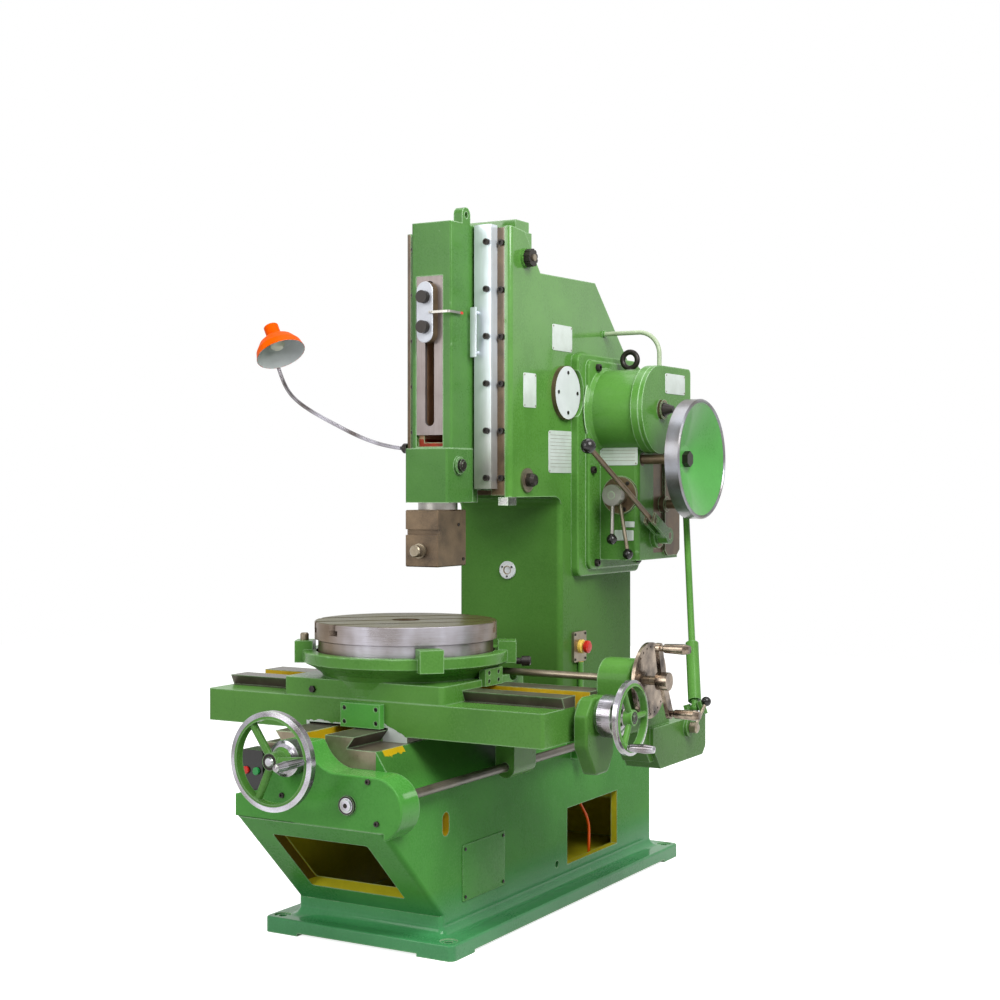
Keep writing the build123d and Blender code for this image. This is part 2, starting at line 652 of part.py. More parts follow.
# Saddle: moves along the bed and carries the cross ways
leg_gap = 1
leg_bottom = way_base + slide_gap
groove_top = way_top + 5
with BuildPart() as saddle:
    span((saddle_left, saddle_right), (saddle_front, saddle_back), (saddle_bottom, saddle_top))
    fillet(saddle.edges().filter_by(Axis.Z), 10)
    side_prism([(table_y - cross_way_half + cross_way_undercut, saddle_top),
                (table_y - cross_way_half, cross_way_top), (table_y + cross_way_half, cross_way_top),
                (table_y + cross_way_half - cross_way_undercut, saddle_top)], (saddle_left, saddle_right))
    span((saddle_left - 1, saddle_right + 1), (cross_screw_y - 42, cross_screw_y + 42),
         (590, cross_way_top + 1), Mode.SUBTRACT)
    span((way_left + 4, way_right - 4), (saddle_front, saddle_back), (leg_bottom, saddle_bottom + 1))
    lower = way_half - way_undercut + leg_gap
    upper = way_half + leg_gap
    front_prism([(way_x - lower, way_base), (way_x - upper, way_top), (way_x - upper, groove_top),
                 (way_x + upper, groove_top), (way_x + upper, way_top), (way_x + lower, way_base)],
                (saddle_front - 1, saddle_back + 1), Mode.SUBTRACT)
    span((way_x - 30, way_x + 30), (table_y - 50, table_y + 50), (495, groove_top + 1))
    bar_y((table_y - 51, table_y + 51), way_x, screw_z, screw_radius + slide_fit, Mode.SUBTRACT)
    span((232, spline_x + 30), (-370, -250), (spline_z, saddle_bottom))
    bar_y((-370, -250), spline_x, spline_z, 30)
    bar_y((-371, -249), spline_x, spline_z, spline_radius + slide_fit, Mode.SUBTRACT)
saddle.part.label = "saddle"
export_step(saddle.part, "parts/saddle.step")

# Saddle front plate: end plate over the way, with four screws
with BuildPart() as saddle_front_plate:
    span((-49, 75), (saddle_front - 22, saddle_front), (574, 638))
    for screw_x in (-37, 63):
        for bolt_z in (588, 624):
            bar_y((saddle_front - 23, saddle_front - 16), screw_x, bolt_z, 6, Mode.SUBTRACT)
saddle_front_plate.part.label = "saddle_front_plate"
export_step(saddle_front_plate.part, "parts/saddle_front_plate.step")

# Cross bearing bracket: carries the cross screw, on a neck at the saddle's right end
bracket_left = 566
bracket_right = 612
with BuildPart() as cross_bracket:
    side_prism([(-548, 545), (-548, 625), (-512, 668), (-425, 668), (-392, 628), (-392, 512), (-425, 468),
                (-495, 468)], (bracket_left, 602))
    fillet(cross_bracket.edges().filter_by(Axis.X), 24)
    fillet(cross_bracket.faces().sort_by(Axis.X)[-1].edges(), 7)
    bar_x((saddle_right, bracket_left), cross_screw_y, cross_screw_z - 6, 48)
    bar_x((602, bracket_right), cross_screw_y, cross_screw_z, 44)
    bar_x((saddle_right - 1, bracket_right + 1), cross_screw_y, cross_screw_z, 14 + run_fit, Mode.SUBTRACT)
cross_bracket.part.label = "cross_bracket"
export_step(cross_bracket.part, "parts/cross_bracket.step")

# Feed box: worm drive above, feed reversing gear below
box_face = 650
with BuildPart() as feed_box:
    span((saddle_right, 640), (-384, saddle_back - 2), (560, 752))
    fillet(feed_box.edges().filter_by(Axis.X).filter_by(lambda e: e.center().Z > 700), 58)
    fillet(feed_box.faces().sort_by(Axis.X)[-1].edges(), 8)
    side_prism([(-250, 505), (-250, 562), (120, 562), (120, 488), (78, 448), (-205, 448)],
               (saddle_right, box_face))
    fillet(feed_box.edges().filter_by(Axis.Z).filter_by(lambda e: e.center().Y > 0), 24)
    side_prism([(-330, 570), (-250, 470), (-200, 470), (-120, 562), (-180, 640), (-246, 660)],
               (saddle_right + 10, box_face - 12))
    bar_x((640, 660), worm_y, worm_z, 62)
    bar_x((saddle_right - 1, 661), worm_y, worm_z, 12 + run_fit, Mode.SUBTRACT)
    bar_x((box_face, box_face + 10), -30, 538, 26)
    bar_x((box_face - 20, box_face + 11), -30, 538, 10 + run_fit, Mode.SUBTRACT)
    with Locations(Location(feed_low, (0, -feed_pin_tilt, 0))):
        with Locations((0, 0, -5)):
            Box(56, 26, 40)
        with Locations((0, 0, 7)):
            Box(32, 80, 44, mode=Mode.SUBTRACT)
    bar_between(feed_low - feed_pin * 40, feed_low + feed_pin * 40, 6 + run_fit, Mode.SUBTRACT)
feed_box.part.label = "feed_box"
export_step(feed_box.part, "parts/feed_box.step")

# Index plate with its rings of holes
with BuildPart() as index_plate:
    bar_x((660, 669), worm_y, worm_z, 100)
    bar_x((659, 670), worm_y, worm_z, 12.5, Mode.SUBTRACT)
    with BuildSketch(Plane(origin=(669, worm_y, worm_z), x_dir=(0, 1, 0), z_dir=(1, 0, 0))) as index_holes:
        with PolarLocations(88, 24):
            Circle(3)
    extrude(index_holes.sketch, amount=-5, mode=Mode.SUBTRACT)
index_plate.part.label = "index_plate"
export_step(index_plate.part, "parts/index_plate.step")

# Cross slide: dovetail base under a flared round body that carries the rotary table
lug_angles = (-44, 31, 208)
with BuildPart() as cross_slide:
    span((-cross_half, cross_half), (saddle_front + 2, saddle_back - 2), (saddle_top + slide_gap, 692))
    fillet(cross_slide.edges().filter_by(Axis.Z), 16)
    turned([(652, 0), (652, 217), (672, 219), (690, 224), (704, 235), (717, 254),
            (rim_bottom, rim_radius - 4),
            (rim_bottom + 3, rim_radius), (rim_top - 2, rim_radius), (rim_top, rim_radius - 2),
            (rim_top, rim_inner), (slide_floor, rim_inner), (slide_floor, 0)],
           (table_x, table_y, 0), (0, 0, 1))
    for angle in lug_angles:
        with Locations(Location((table_x, table_y, 0), (0, 0, angle))):
            with Locations((278, 0, 754)):
                Box(50, 64, 60)
    side_prism([(table_y - cross_way_half + cross_way_undercut - 1, saddle_top - 1),
                (table_y - cross_way_half - 1, cross_way_top + 0.5),
                (table_y + cross_way_half + 1, cross_way_top + 0.5),
                (table_y + cross_way_half - cross_way_undercut + 1, saddle_top - 1)],
               (-cross_half - 1, cross_half + 1), Mode.SUBTRACT)
    span((cross_half - 8, cross_half + 12), (-482, -392), (674, 720))
    for hole_y in (-462, -412):
        for hole_z in (686, 708):
            bar_x((cross_half + 4, cross_half + 13), hole_y, hole_z, 6, Mode.SUBTRACT)
    bar_z((wheel_floor, slide_floor + 1), table_x, table_y, wheel_pocket, Mode.SUBTRACT)
    bar_x((-rim_radius - 20, rim_radius + 20), worm_y, worm_z, 24, Mode.SUBTRACT)
    span((-26, 26), (cross_screw_y - 26, cross_screw_y + 26), (cross_screw_z - 24, wheel_floor))
    bar_z((674, wheel_floor + 1), table_x, table_y, spindle_radius + run_fit, Mode.SUBTRACT)
    bar_x((-27, 27), cross_screw_y, cross_screw_z, 14 + slide_fit, Mode.SUBTRACT)
cross_slide.part.label = "cross_slide"
export_step(cross_slide.part, "parts/cross_slide.step")

# Table lock screws in two of the cross slide's lugs
with BuildPart() as lock_screws:
    left, right = radians(lug_angles[2]), radians(lug_angles[1])
    left_x, left_y = table_x + 280 * cos(left), table_y + 280 * sin(left)
    turned([(784, 0), (784, 12), (800, 12), (804, 9), (804, 0)], (left_x, left_y, 0), (0, 0, 1))
    turned([(303, 0), (303, 9), (318, 9), (318, 14), (340, 14), (344, 9), (344, 0)],
           (table_x, table_y, 726), (cos(right), sin(right), 0))
lock_screws.part.label = "lock_screws"
export_step(lock_screws.part, "parts/lock_screws.step")

# Rotary table with T-slots and a centre bore
slot_width = 18
slot_mouth = 16
tee_width = 32
tee_height = 14
slot_offset = 116
with BuildPart() as rotary_table:
    turned([(676, 0), (676, spindle_radius), (table_neck, spindle_radius), (table_neck, neck_radius),
            (table_band - 4, neck_radius), (table_band - 4, neck_radius - 4),
            (table_band, neck_radius - 4), (table_band, table_radius),
            (table_top - 3, table_radius), (table_top, table_radius - 3), (table_top, 0)],
           (table_x, table_y, 0), (0, 0, 1))
    bar_z((675, table_top + 1), table_x, table_y, 40, Mode.SUBTRACT)
    with Locations(Location((table_x, table_y, 0), (0, 0, t_slot_turn))):
        for place in (-slot_offset, 0, slot_offset):
            with Locations((0, place, table_top - slot_mouth / 2)):
                Box(2.2 * table_radius, slot_width, slot_mouth + 1, mode=Mode.SUBTRACT)
            with Locations((0, place, table_top - slot_mouth - tee_height / 2)):
                Box(2.2 * table_radius, tee_width, tee_height, mode=Mode.SUBTRACT)
rotary_table.part.label = "rotary_table"
export_step(rotary_table.part, "parts/rotary_table.step")

# Worm wheel under the table
with BuildPart() as worm_wheel:
    bar_z((686, 710), table_x, table_y, 129)
    bar_z((685, 711), table_x, table_y, spindle_radius, Mode.SUBTRACT)
worm_wheel.part.label = "worm_wheel"
export_step(worm_wheel.part, "parts/worm_wheel.step")

# Worm: slides along its shaft with the cross slide
with BuildPart() as worm:
    bar_x((-30, 30), worm_y, worm_z, 20)
    bar_x((-31, 31), worm_y, worm_z, 10 + slide_fit, Mode.SUBTRACT)
worm.part.label = "worm"
export_step(worm.part, "parts/worm.step")

# Worm shaft from the feed box through the cross slide
with BuildPart() as worm_shaft:
    bar_x((-285, saddle_right - 4), worm_y, worm_z, 10)
    bar_x((saddle_right - 4, 690), worm_y, worm_z, 12)
worm_shaft.part.label = "worm_shaft"
export_step(worm_shaft.part, "parts/worm_shaft.step")

# Index crank with its two handles
crank_x = (697, 708)
crank_high = Vector(crank_x[0], worm_y - 22, worm_z + 88)
crank_low = Vector(crank_x[0], worm_y + 44, worm_z - 90)
with BuildPart() as index_crank:
    for tip in (crank_high, crank_low):
        run_y, run_z = tip.Y - worm_y, tip.Z - worm_z
        reach = hypot(run_y, run_z)
        side_y, side_z = -run_z / reach * 13, run_y / reach * 13
        side_prism([(worm_y + side_y, worm_z + side_z), (tip.Y + side_y, tip.Z + side_z),
                    (tip.Y - side_y, tip.Z - side_z), (worm_y - side_y, worm_z - side_z)], crank_x)
        bar_x(crank_x, tip.Y, tip.Z, 14)
        turned([(708, 0), (708, 8), (716, 8), (720, 12), (774, 14), (790, 10), (790, 0)],
               (0, tip.Y, tip.Z), (1, 0, 0))
    bar_x((690, 722), worm_y, worm_z, 24)
index_crank.part.label = "index_crank"
export_step(index_crank.part, "parts/index_crank.step")

# Handwheels: rim, three spokes, hub with a graduated collar, and a turned handle
def spoked_wheel(centre, direction, rim_radius, rim_section, hub, spoke_angles, handle):
    """Handwheel on an axis that points to the operator; handle is (angle, radius, length)"""
    axis = Vector(*direction)
    face = Plane(origin=centre, x_dir=handle_side(axis), z_dir=axis)
    half, depth = rim_section
    turned([(-depth / 2, rim_radius - 2 * half), (-depth / 2 + 4, rim_radius), (depth / 2 - 4, rim_radius),
            (depth / 2, rim_radius - 2 * half)], centre, direction)
    turned(hub, centre, direction)
    for angle in spoke_angles:
        a = radians(angle)
        tip = face.from_local_coords(Vector((rim_radius - half) * cos(a), (rim_radius - half) * sin(a), 0))
        bar_between(face.from_local_coords(Vector(0, 0, 0)), tip, half)
    angle, place, length = handle
    a = radians(angle)
    foot = face.from_local_coords(Vector(place * cos(a), place * sin(a), 0))
    turned([(0, 0), (0, 7), (16, 7), (20, 10), (length * 0.7, 12), (length, 9), (length + 3, 0)],
           foot, direction)


def handle_side(axis):
    """Direction from which handwheel angles are counted: machine's right, or its back"""
    return Vector(0, 1, 0) if abs(axis.X) > 0.5 else Vector(1, 0, 0)


with BuildPart() as front_handwheel:
    spoked_wheel((way_x, front_wheel_y, screw_z), (0, -1, 0), front_wheel_radius, (10, 26),
                 [(-84, 0), (-84, 46), (-46, 46), (-44, 38), (-26, 24), (14, 22), (14, 12), (18, 10),
                  (18, 0)],
                 (5, 125, 245), (5, 102, 120))
    bar_y((front_wheel_y + 60, front_wheel_y + 85), way_x, screw_z, screw_radius, Mode.SUBTRACT)
front_handwheel.part.label = "front_handwheel"
export_step(front_handwheel.part, "parts/front_handwheel.step")

with BuildPart() as cross_handwheel:
    spoked_wheel((cross_wheel_x, cross_screw_y, cross_screw_z), (1, 0, 0), cross_wheel_radius, (8, 20),
                 [(-71, 0), (-71, 55), (-33, 55), (-31, 46), (-22, 40), (-14, 24), (12, 20), (12, 11),
                  (16, 9), (16, 0)],
                 (0, 120, 240), (240, 80, 84))
    bar_x((cross_wheel_x - 72, cross_wheel_x - 15), cross_screw_y, cross_screw_z, 14, Mode.SUBTRACT)
cross_handwheel.part.label = "cross_handwheel"
export_step(cross_handwheel.part, "parts/cross_handwheel.step")

with BuildPart() as longitudinal_screw:
    bar_y((front_wheel_y + 60, way_end - 20), way_x, screw_z, screw_radius)
longitudinal_screw.part.label = "longitudinal_screw"
export_step(longitudinal_screw.part, "parts/longitudinal_screw.step")

with BuildPart() as cross_screw:
    bar_x((saddle_left + 20, cross_wheel_x - 15), cross_screw_y, cross_screw_z, 14)
cross_screw.part.label = "cross_screw"
export_step(cross_screw.part, "parts/cross_screw.step")

with BuildPart() as spline_shaft:
    bar_y((nose_back - 55, spline_bearing_y[1] + 6), spline_x, spline_z, spline_radius)
spline_shaft.part.label = "spline_shaft"
export_step(spline_shaft.part, "parts/spline_shaft.step")

# Feed lever: ball lever with a bright hub on the feed box
with BuildPart() as feed_lever:
    turned([(box_face - 18, 0), (box_face - 18, 10), (box_face + 12, 10), (box_face + 12, 15),
            (box_face + 30, 15), (box_face + 34, 10), (box_face + 34, 0)], (0, -30, 538), (1, 0, 0))
    bar_between((box_face + 22, -30, 538), (box_face + 26, 40, 598), 5)
    with Locations((box_face + 26, 44, 602)):
        Sphere(14)
feed_lever.part.label = "feed_lever"
export_step(feed_lever.part, "parts/feed_lever.step")

# Feed shaft: sleeve on the feed box and rod that telescopes in it
with BuildPart() as feed_sleeve:
    bar_between(feed_low + feed_run * 22, feed_low + feed_run * 212, 19)
    with Locations(feed_low):
        Sphere(13)
    bar_between(feed_low, feed_low + feed_run * 24, 10)
    bar_between(feed_low - feed_pin * 27, feed_low + feed_pin * 27, 6)
    bar_between(feed_low + feed_run * 26, feed_low + feed_run * 213, 11.5, Mode.SUBTRACT)
feed_sleeve.part.label = "feed_sleeve"
export_step(feed_sleeve.part, "parts/feed_sleeve.step")

with BuildPart() as feed_rod:
    bar_between(feed_low + feed_run * 145, feed_low + feed_run * (feed_length - 30), 10)
    bar_between(feed_low + feed_run * (feed_length - 34), feed_low + feed_run * (feed_length - 10), 15)
    with Locations(feed_high):
        Sphere(13)
feed_rod.part.label = "feed_rod"
export_step(feed_rod.part, "parts/feed_rod.step")

# Gearbox housing: mounting flange, drum for the crank shaft, change gear box below
shaft_radius = 20
wheel_shaft_radius = 15
bull_shaft_radius = 38
hose_end = 1576
with BuildPart() as gearbox_housing:
    span((column_half, flange_right), (178, 612), (932, 1610))
    fillet(gearbox_housing.edges().filter_by(Axis.X), 28)
    fillet(gearbox_housing.faces().sort_by(Axis.X)[-1].edges(), 6)
    with BuildPart(mode=Mode.PRIVATE) as step_block:
        span((flange_right - 10, step_right), (226, 605), (952, 1592))
        fillet(step_block.edges().filter_by(Axis.X), 26)
        fillet(step_block.faces().sort_by(Axis.X)[-1].edges(), 6)
    add(step_block.part)
    bar_x((flange_right, drum_right), drum_y, drum_z, drum_radius)
    turned([(step_right - 8, drum_radius - 2), (step_right - 8, drum_radius + 16),
            (step_right + 3, drum_radius + 5), (step_right + 16, drum_radius - 2)], (0, drum_y, drum_z), (1, 0, 0))
    bar_x((drum_right - 24, drum_right), drum_y, drum_z, cover_radius)
    span((flange_right, box_right), (box_front, box_back), (box_bottom, drum_z - 60))
    fillet(gearbox_housing.edges().filter_by(Axis.Z).filter_by(lambda e: e.center().X > box_right - 1), 14)
    span((flange_right, drum_right), (drum_y, cover_back - 10), (cover_bottom + 10, drum_z + drum_radius))
    span((drum_right - 24, drum_right), (drum_y, cover_back), (cover_bottom, drum_z + cover_radius))
    side_prism([(480, 1005), (480, 1385), (592, 1385), (592, 1005), (570, 988), (502, 988)],
               (box_right, box_right + 8))
    bar_y((box_front - 10, box_front), selector_x - 4, selector_z, 58)
    bar_y((226, box_front), selector_x, selector_z, 12)
    bar_x((box_right, box_right + 16), clutch_y, clutch_z, 38)
    bar_x((box_right, box_right + 52), clutch_y, clutch_z, 12)
    bar_x((box_right, feed_high.X - 20), feed_high.Y, feed_high.Z, 14)
    bar_x((box_right, box_right + 20), feed_high.Y, feed_high.Z, 24)
    bar_z((1540, hose_end), 370, 400, 12)
    bar_x((column_half - 1, drum_right + 1), drum_y, drum_z, bull_shaft_radius + run_fit, Mode.SUBTRACT)
    bar_x((column_half - 1, box_right + 1), barring_y, barring_z, shaft_radius + run_fit, Mode.SUBTRACT)
    bar_x((column_half - 1, 300), input_y, input_z, shaft_radius + run_fit, Mode.SUBTRACT)
    bar_z((1540, 1576), eye_x, eye_y, 8 + run_fit, Mode.SUBTRACT)
    bar_x((column_half - 1, flange_right + 1), pivot_y, pivot_z, pivot_cover_radius + 2, Mode.SUBTRACT)
gearbox_housing.part.label = "gearbox_housing"
export_step(gearbox_housing.part, "parts/gearbox_housing.step")

with BuildPart() as gearbox_end_cover:
    span((drum_right, cover_right), (drum_y, cover_back), (cover_bottom, drum_z + cover_radius))
    fillet(gearbox_end_cover.edges().filter_by(Axis.X).filter_by(lambda e: e.center().Y > drum_y + 1), 16)
    bar_x((drum_right, cover_right), drum_y, drum_z, cover_radius)
    bar_x((cover_right, cover_right + 12), drum_y, drum_z, 30)
    bar_x((drum_right - 1, cover_right + 13), drum_y, drum_z, 22, Mode.SUBTRACT)
gearbox_end_cover.part.label = "gearbox_end_cover"
export_step(gearbox_end_cover.part, "parts/gearbox_end_cover.step")

with BuildPart() as eye_bolt:
    bar_z((1541, 1578), eye_x, eye_y, 8)
    bar_z((drum_z + drum_radius, drum_z + drum_radius + 8), eye_x, eye_y, 16)
    with Locations(Location((eye_x, eye_y, 1600), (90, 0, 30))):
        Torus(25, 8.5)
eye_bolt.part.label = "eye_bolt"
export_step(eye_bolt.part, "parts/eye_bolt.step")

hose_bend = 70
with BuildPart() as oil_hose:
    with BuildLine() as hose_line:
        FilletPolyline((column_half + 8, 400, 1684), (370, 400, 1684), (370, 400, hose_end), radius=hose_bend)
    with BuildSketch(Plane(origin=hose_line.line @ 0, z_dir=hose_line.line % 0)):
        Circle(7)
    sweep()
oil_hose.part.label = "oil_hose"
export_step(oil_hose.part, "parts/oil_hose.step")

# Barring wheel: dished wheel on the pinion shaft, for turning the drive by hand
with BuildPart() as barring_wheel:
    turned([(450, wheel_shaft_radius), (450, 40), (470, 42), (505, barring_radius - 16),
            (500, barring_radius - 4), (500, barring_radius), (541, barring_radius), (545, barring_radius - 4),
            (545, barring_radius - 8), (541, barring_radius - 10), (486, 42), (486, wheel_shaft_radius)],
           (0, barring_y, barring_z), (1, 0, 0))
barring_wheel.part.label = "barring_wheel"
export_step(barring_wheel.part, "parts/barring_wheel.step")


def gear_teeth(teeth, x, y, z, phase):
    """Spur gear blank with straight-sided teeth, between two limits along X"""
    pitch = gear_module * teeth / 2
    root = pitch - 5.6
    tip = pitch + 4
    bar_x(x, y, z, root)
    for tooth in range(teeth):
        a = 2 * pi * tooth / teeth + phase
        low, high = 0.24 * 2 * pi / teeth, 0.11 * 2 * pi / teeth
        corners = [(root - 2, -low), (tip, -high), (tip, high), (root - 2, low)]
        side_prism([(y + r * cos(a + t), z + r * sin(a + t)) for r, t in corners], x)


gear_x = (62, 106)
mesh_angle = atan2(drum_z - barring_z, drum_y - barring_y)
with BuildPart() as pinion_shaft:
    gear_teeth(pinion_teeth, gear_x, barring_y, barring_z, mesh_angle)
    bar_x((54, box_right + 1), barring_y, barring_z, shaft_radius)
    bar_x((box_right + 1, 504), barring_y, barring_z, wheel_shaft_radius)
    hex_nut(486, barring_y, barring_z, (1, 0, 0), 42, 18)
pinion_shaft.part.label = "pinion_shaft"
export_step(pinion_shaft.part, "parts/pinion_shaft.step")

# Bull gear with the crank pin; its shaft ends in the stroke setting cone outside the drum
with BuildPart() as bull_gear:
    gear_teeth(bull_teeth, (gear_x[0] + 2, gear_x[1] - 2), drum_y, drum_z, mesh_angle + pi + pi / bull_teeth)
    bar_x((gear_x[1] - 2, drum_right - 0.5), drum_y, drum_z, bull_shaft_radius)
    turned([(drum_right - 1, 0), (drum_right - 1, 20), (cover_right + 14, 20), (cover_right + 42, 10),
            (cover_right + 42, 0)], (0, drum_y, drum_z), (1, 0, 0))
    bar_x((28, gear_x[0] + 3), drum_y - 44, drum_z, 16)
bull_gear.part.label = "bull_gear"
export_step(bull_gear.part, "parts/bull_gear.step")

# Rocker arm from the crank to the ram's drive block, on a pin across the column
rocker_tip_z = drum_z + rocker_tip_rise
with BuildPart() as rocker_arm:
    bar_x((-40, 24), rocker_y, drum_z, 38)
    side_prism([(rocker_y, drum_z - 34), (rocker_y, drum_z + 34), (drum_y, drum_z + 62),
                (rocker_tip_y + 10, rocker_tip_z + 22), (rocker_tip_y - 10, rocker_tip_z),
                (rocker_tip_y + 10, rocker_tip_z - 22), (drum_y, drum_z - 8)], (-11, 11))
    bar_x((-41, 25), rocker_y, drum_z, 18 + run_fit, Mode.SUBTRACT)
rocker_arm.part.label = "rocker_arm"
export_step(rocker_arm.part, "parts/rocker_arm.step")

with BuildPart() as rocker_pin:
    bar_x((column_wall - column_half, column_half - column_wall), rocker_y, drum_z, 18)
rocker_pin.part.label = "rocker_pin"
export_step(rocker_pin.part, "parts/rocker_pin.step")

# Clutch lever on the gearbox's side: a ball rod pinned in the fork of its hub
lever_x = 380
lever_ball = Vector(lever_x, -104, 1320)
lever_hub = Vector(lever_x, clutch_y, clutch_z)
lever_run = (lever_ball - lever_hub).normalized()
lever_side = Vector(0, -lever_run.Z, lever_run.Y) * 17
with BuildPart() as clutch_lever:
    fork_end = lever_hub + lever_run * 128
    side_prism([(p.Y, p.Z) for p in (lever_hub + lever_side, fork_end + lever_side, fork_end - lever_side,
                                     lever_hub - lever_side)], (lever_x - 17, lever_x + 17))
    slot_start = lever_hub + lever_run * 42
    slot_stop = lever_hub + lever_run * 140
    side_prism([(p.Y, p.Z) for p in (slot_start + lever_side * 1.2, slot_stop + lever_side * 1.2,
                                     slot_stop - lever_side * 1.2, slot_start - lever_side * 1.2)],
               (lever_x - 9, lever_x + 9), Mode.SUBTRACT)
    bar_x((lever_x - 17, lever_x + 17), clutch_y, clutch_z, 25)
    rod_start = lever_hub + lever_run * 40
    bar_between(rod_start, lever_ball - lever_run * 10, 8)
    pin = lever_hub + lever_run * 110
    bar_x((lever_x - 21, lever_x + 21), pin.Y, pin.Z, 7)
    with Locations(lever_ball):
        Sphere(22)
    bar_x((lever_x - 18, lever_x + 18), clutch_y, clutch_z, 12 + run_fit, Mode.SUBTRACT)
clutch_lever.part.label = "clutch_lever"
export_step(clutch_lever.part, "parts/clutch_lever.step")

# Two gear levers on one selector shaft
with BuildPart() as gear_lever_front:
    bar_y((228, 254), selector_x, selector_z, 32)
    bar_between((selector_x, 236, selector_z - 20), (selector_x + 2, 226, 1056), 6)
    with Locations((selector_x + 2, 226, 1046)):
        Sphere(16)
    bar_y((225, 255), selector_x, selector_z, 12 + run_fit, Mode.SUBTRACT)
gear_lever_front.part.label = "gear_lever_front"
export_step(gear_lever_front.part, "parts/gear_lever_front.step")

with BuildPart() as gear_lever_rear:
    bar_y((258, 284), selector_x, selector_z, 26)
    bar_between((selector_x + 6, 272, selector_z - 16), (selector_x + 32, 272, 1010), 6)
    with Locations((selector_x + 34, 272, 1000)):
        Sphere(16)
    bar_y((257, 285), selector_x, selector_z, 12 + run_fit, Mode.SUBTRACT)
gear_lever_rear.part.label = "gear_lever_rear"
export_step(gear_lever_rear.part, "parts/gear_lever_rear.step")

# Drive motor in the back of the bed, its rotor and pulley, the driven pulley and the belts
pulley_x = (100, 150)
motor_pulley_radius = 48
driven_pulley_radius = 96
belt_centres = (109, 125, 141)
belt_half = 5
belt_depth = 7


def pulley_profile(radius, bore):
    """Half section of a pulley with a groove for each belt, as (distance along X, radius)"""
    points = [(pulley_x[0], bore), (pulley_x[0], radius)]
    for centre in belt_centres:
        points += [(centre - belt_half - 1, radius), (centre - belt_half, radius - belt_depth - 1),
                   (centre + belt_half, radius - belt_depth - 1), (centre + belt_half + 1, radius)]
    return points + [(pulley_x[1], radius), (pulley_x[1], bore)]


with BuildPart() as motor:
    turned([(-190, 0), (-190, 52), (-178, 76), (-150, 86), (60, 86), (72, 66), (72, 0)],
           (0, motor_y, motor_z), (1, 0, 0))
    span((-130, 50), (motor_y - 80, motor_y + 80), (245, 262))
    span((-120, 40), (motor_y - 60, motor_y + 60), (262, 300))
    bar_x((-100, 73), motor_y, motor_z, 19 + run_fit, Mode.SUBTRACT)
motor.part.label = "motor"
export_step(motor.part, "parts/motor.step")

with BuildPart() as motor_rotor:
    bar_x((-99, pulley_x[1]), motor_y, motor_z, 19)
    turned(pulley_profile(motor_pulley_radius, 0), (0, motor_y, motor_z), (1, 0, 0))
motor_rotor.part.label = "motor_rotor"
export_step(motor_rotor.part, "parts/motor_rotor.step")

with BuildPart() as driven_pulley:
    turned(pulley_profile(driven_pulley_radius, 0), (0, input_y, input_z), (1, 0, 0))
    bar_x((pulley_x[1], 298), input_y, input_z, shaft_radius)
driven_pulley.part.label = "driven_pulley"
export_step(driven_pulley.part, "parts/driven_pulley.step")

with BuildPart() as drive_belts:
    centre_distance = input_z - motor_z
    for centre in belt_centres:
        for grow, mode in ((0, Mode.ADD), (-belt_depth, Mode.SUBTRACT)):
            low = motor_pulley_radius + grow
            high = driven_pulley_radius + grow
            wrap = (high - low) / centre_distance
            rise = (1 - wrap ** 2) ** 0.5
            limits = (centre - belt_half + 0.5, centre + belt_half - 0.5)
            if grow < 0:
                limits = (centre - belt_half - 1, centre + belt_half + 1)
            bar_x(limits, motor_y, motor_z, low, mode)
            bar_x(limits, input_y, input_z, high, mode)
            side_prism([(motor_y - low * rise, motor_z - low * wrap), (motor_y + low * rise, motor_z - low * wrap),
                        (input_y + high * rise, input_z - high * wrap),
                        (input_y - high * rise, input_z - high * wrap)], limits, mode)
drive_belts.part.label = "drive_belts"
export_step(drive_belts.part, "parts/drive_belts.step")
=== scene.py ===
import math

import bmesh
import bpy
import numpy as np
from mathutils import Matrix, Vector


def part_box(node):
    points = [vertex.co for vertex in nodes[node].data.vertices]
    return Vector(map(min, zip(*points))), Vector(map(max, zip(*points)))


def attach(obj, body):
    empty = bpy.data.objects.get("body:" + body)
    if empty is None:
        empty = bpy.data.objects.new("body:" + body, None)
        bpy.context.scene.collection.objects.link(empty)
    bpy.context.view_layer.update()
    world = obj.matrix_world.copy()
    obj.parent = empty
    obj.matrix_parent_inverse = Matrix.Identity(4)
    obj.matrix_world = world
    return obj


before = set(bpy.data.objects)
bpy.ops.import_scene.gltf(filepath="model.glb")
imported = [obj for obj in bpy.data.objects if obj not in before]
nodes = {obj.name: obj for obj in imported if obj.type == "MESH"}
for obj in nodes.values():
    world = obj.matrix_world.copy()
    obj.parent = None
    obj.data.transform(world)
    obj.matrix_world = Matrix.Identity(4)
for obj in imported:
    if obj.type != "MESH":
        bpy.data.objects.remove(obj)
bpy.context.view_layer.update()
print("frame loaded,", len(nodes), "nodes")


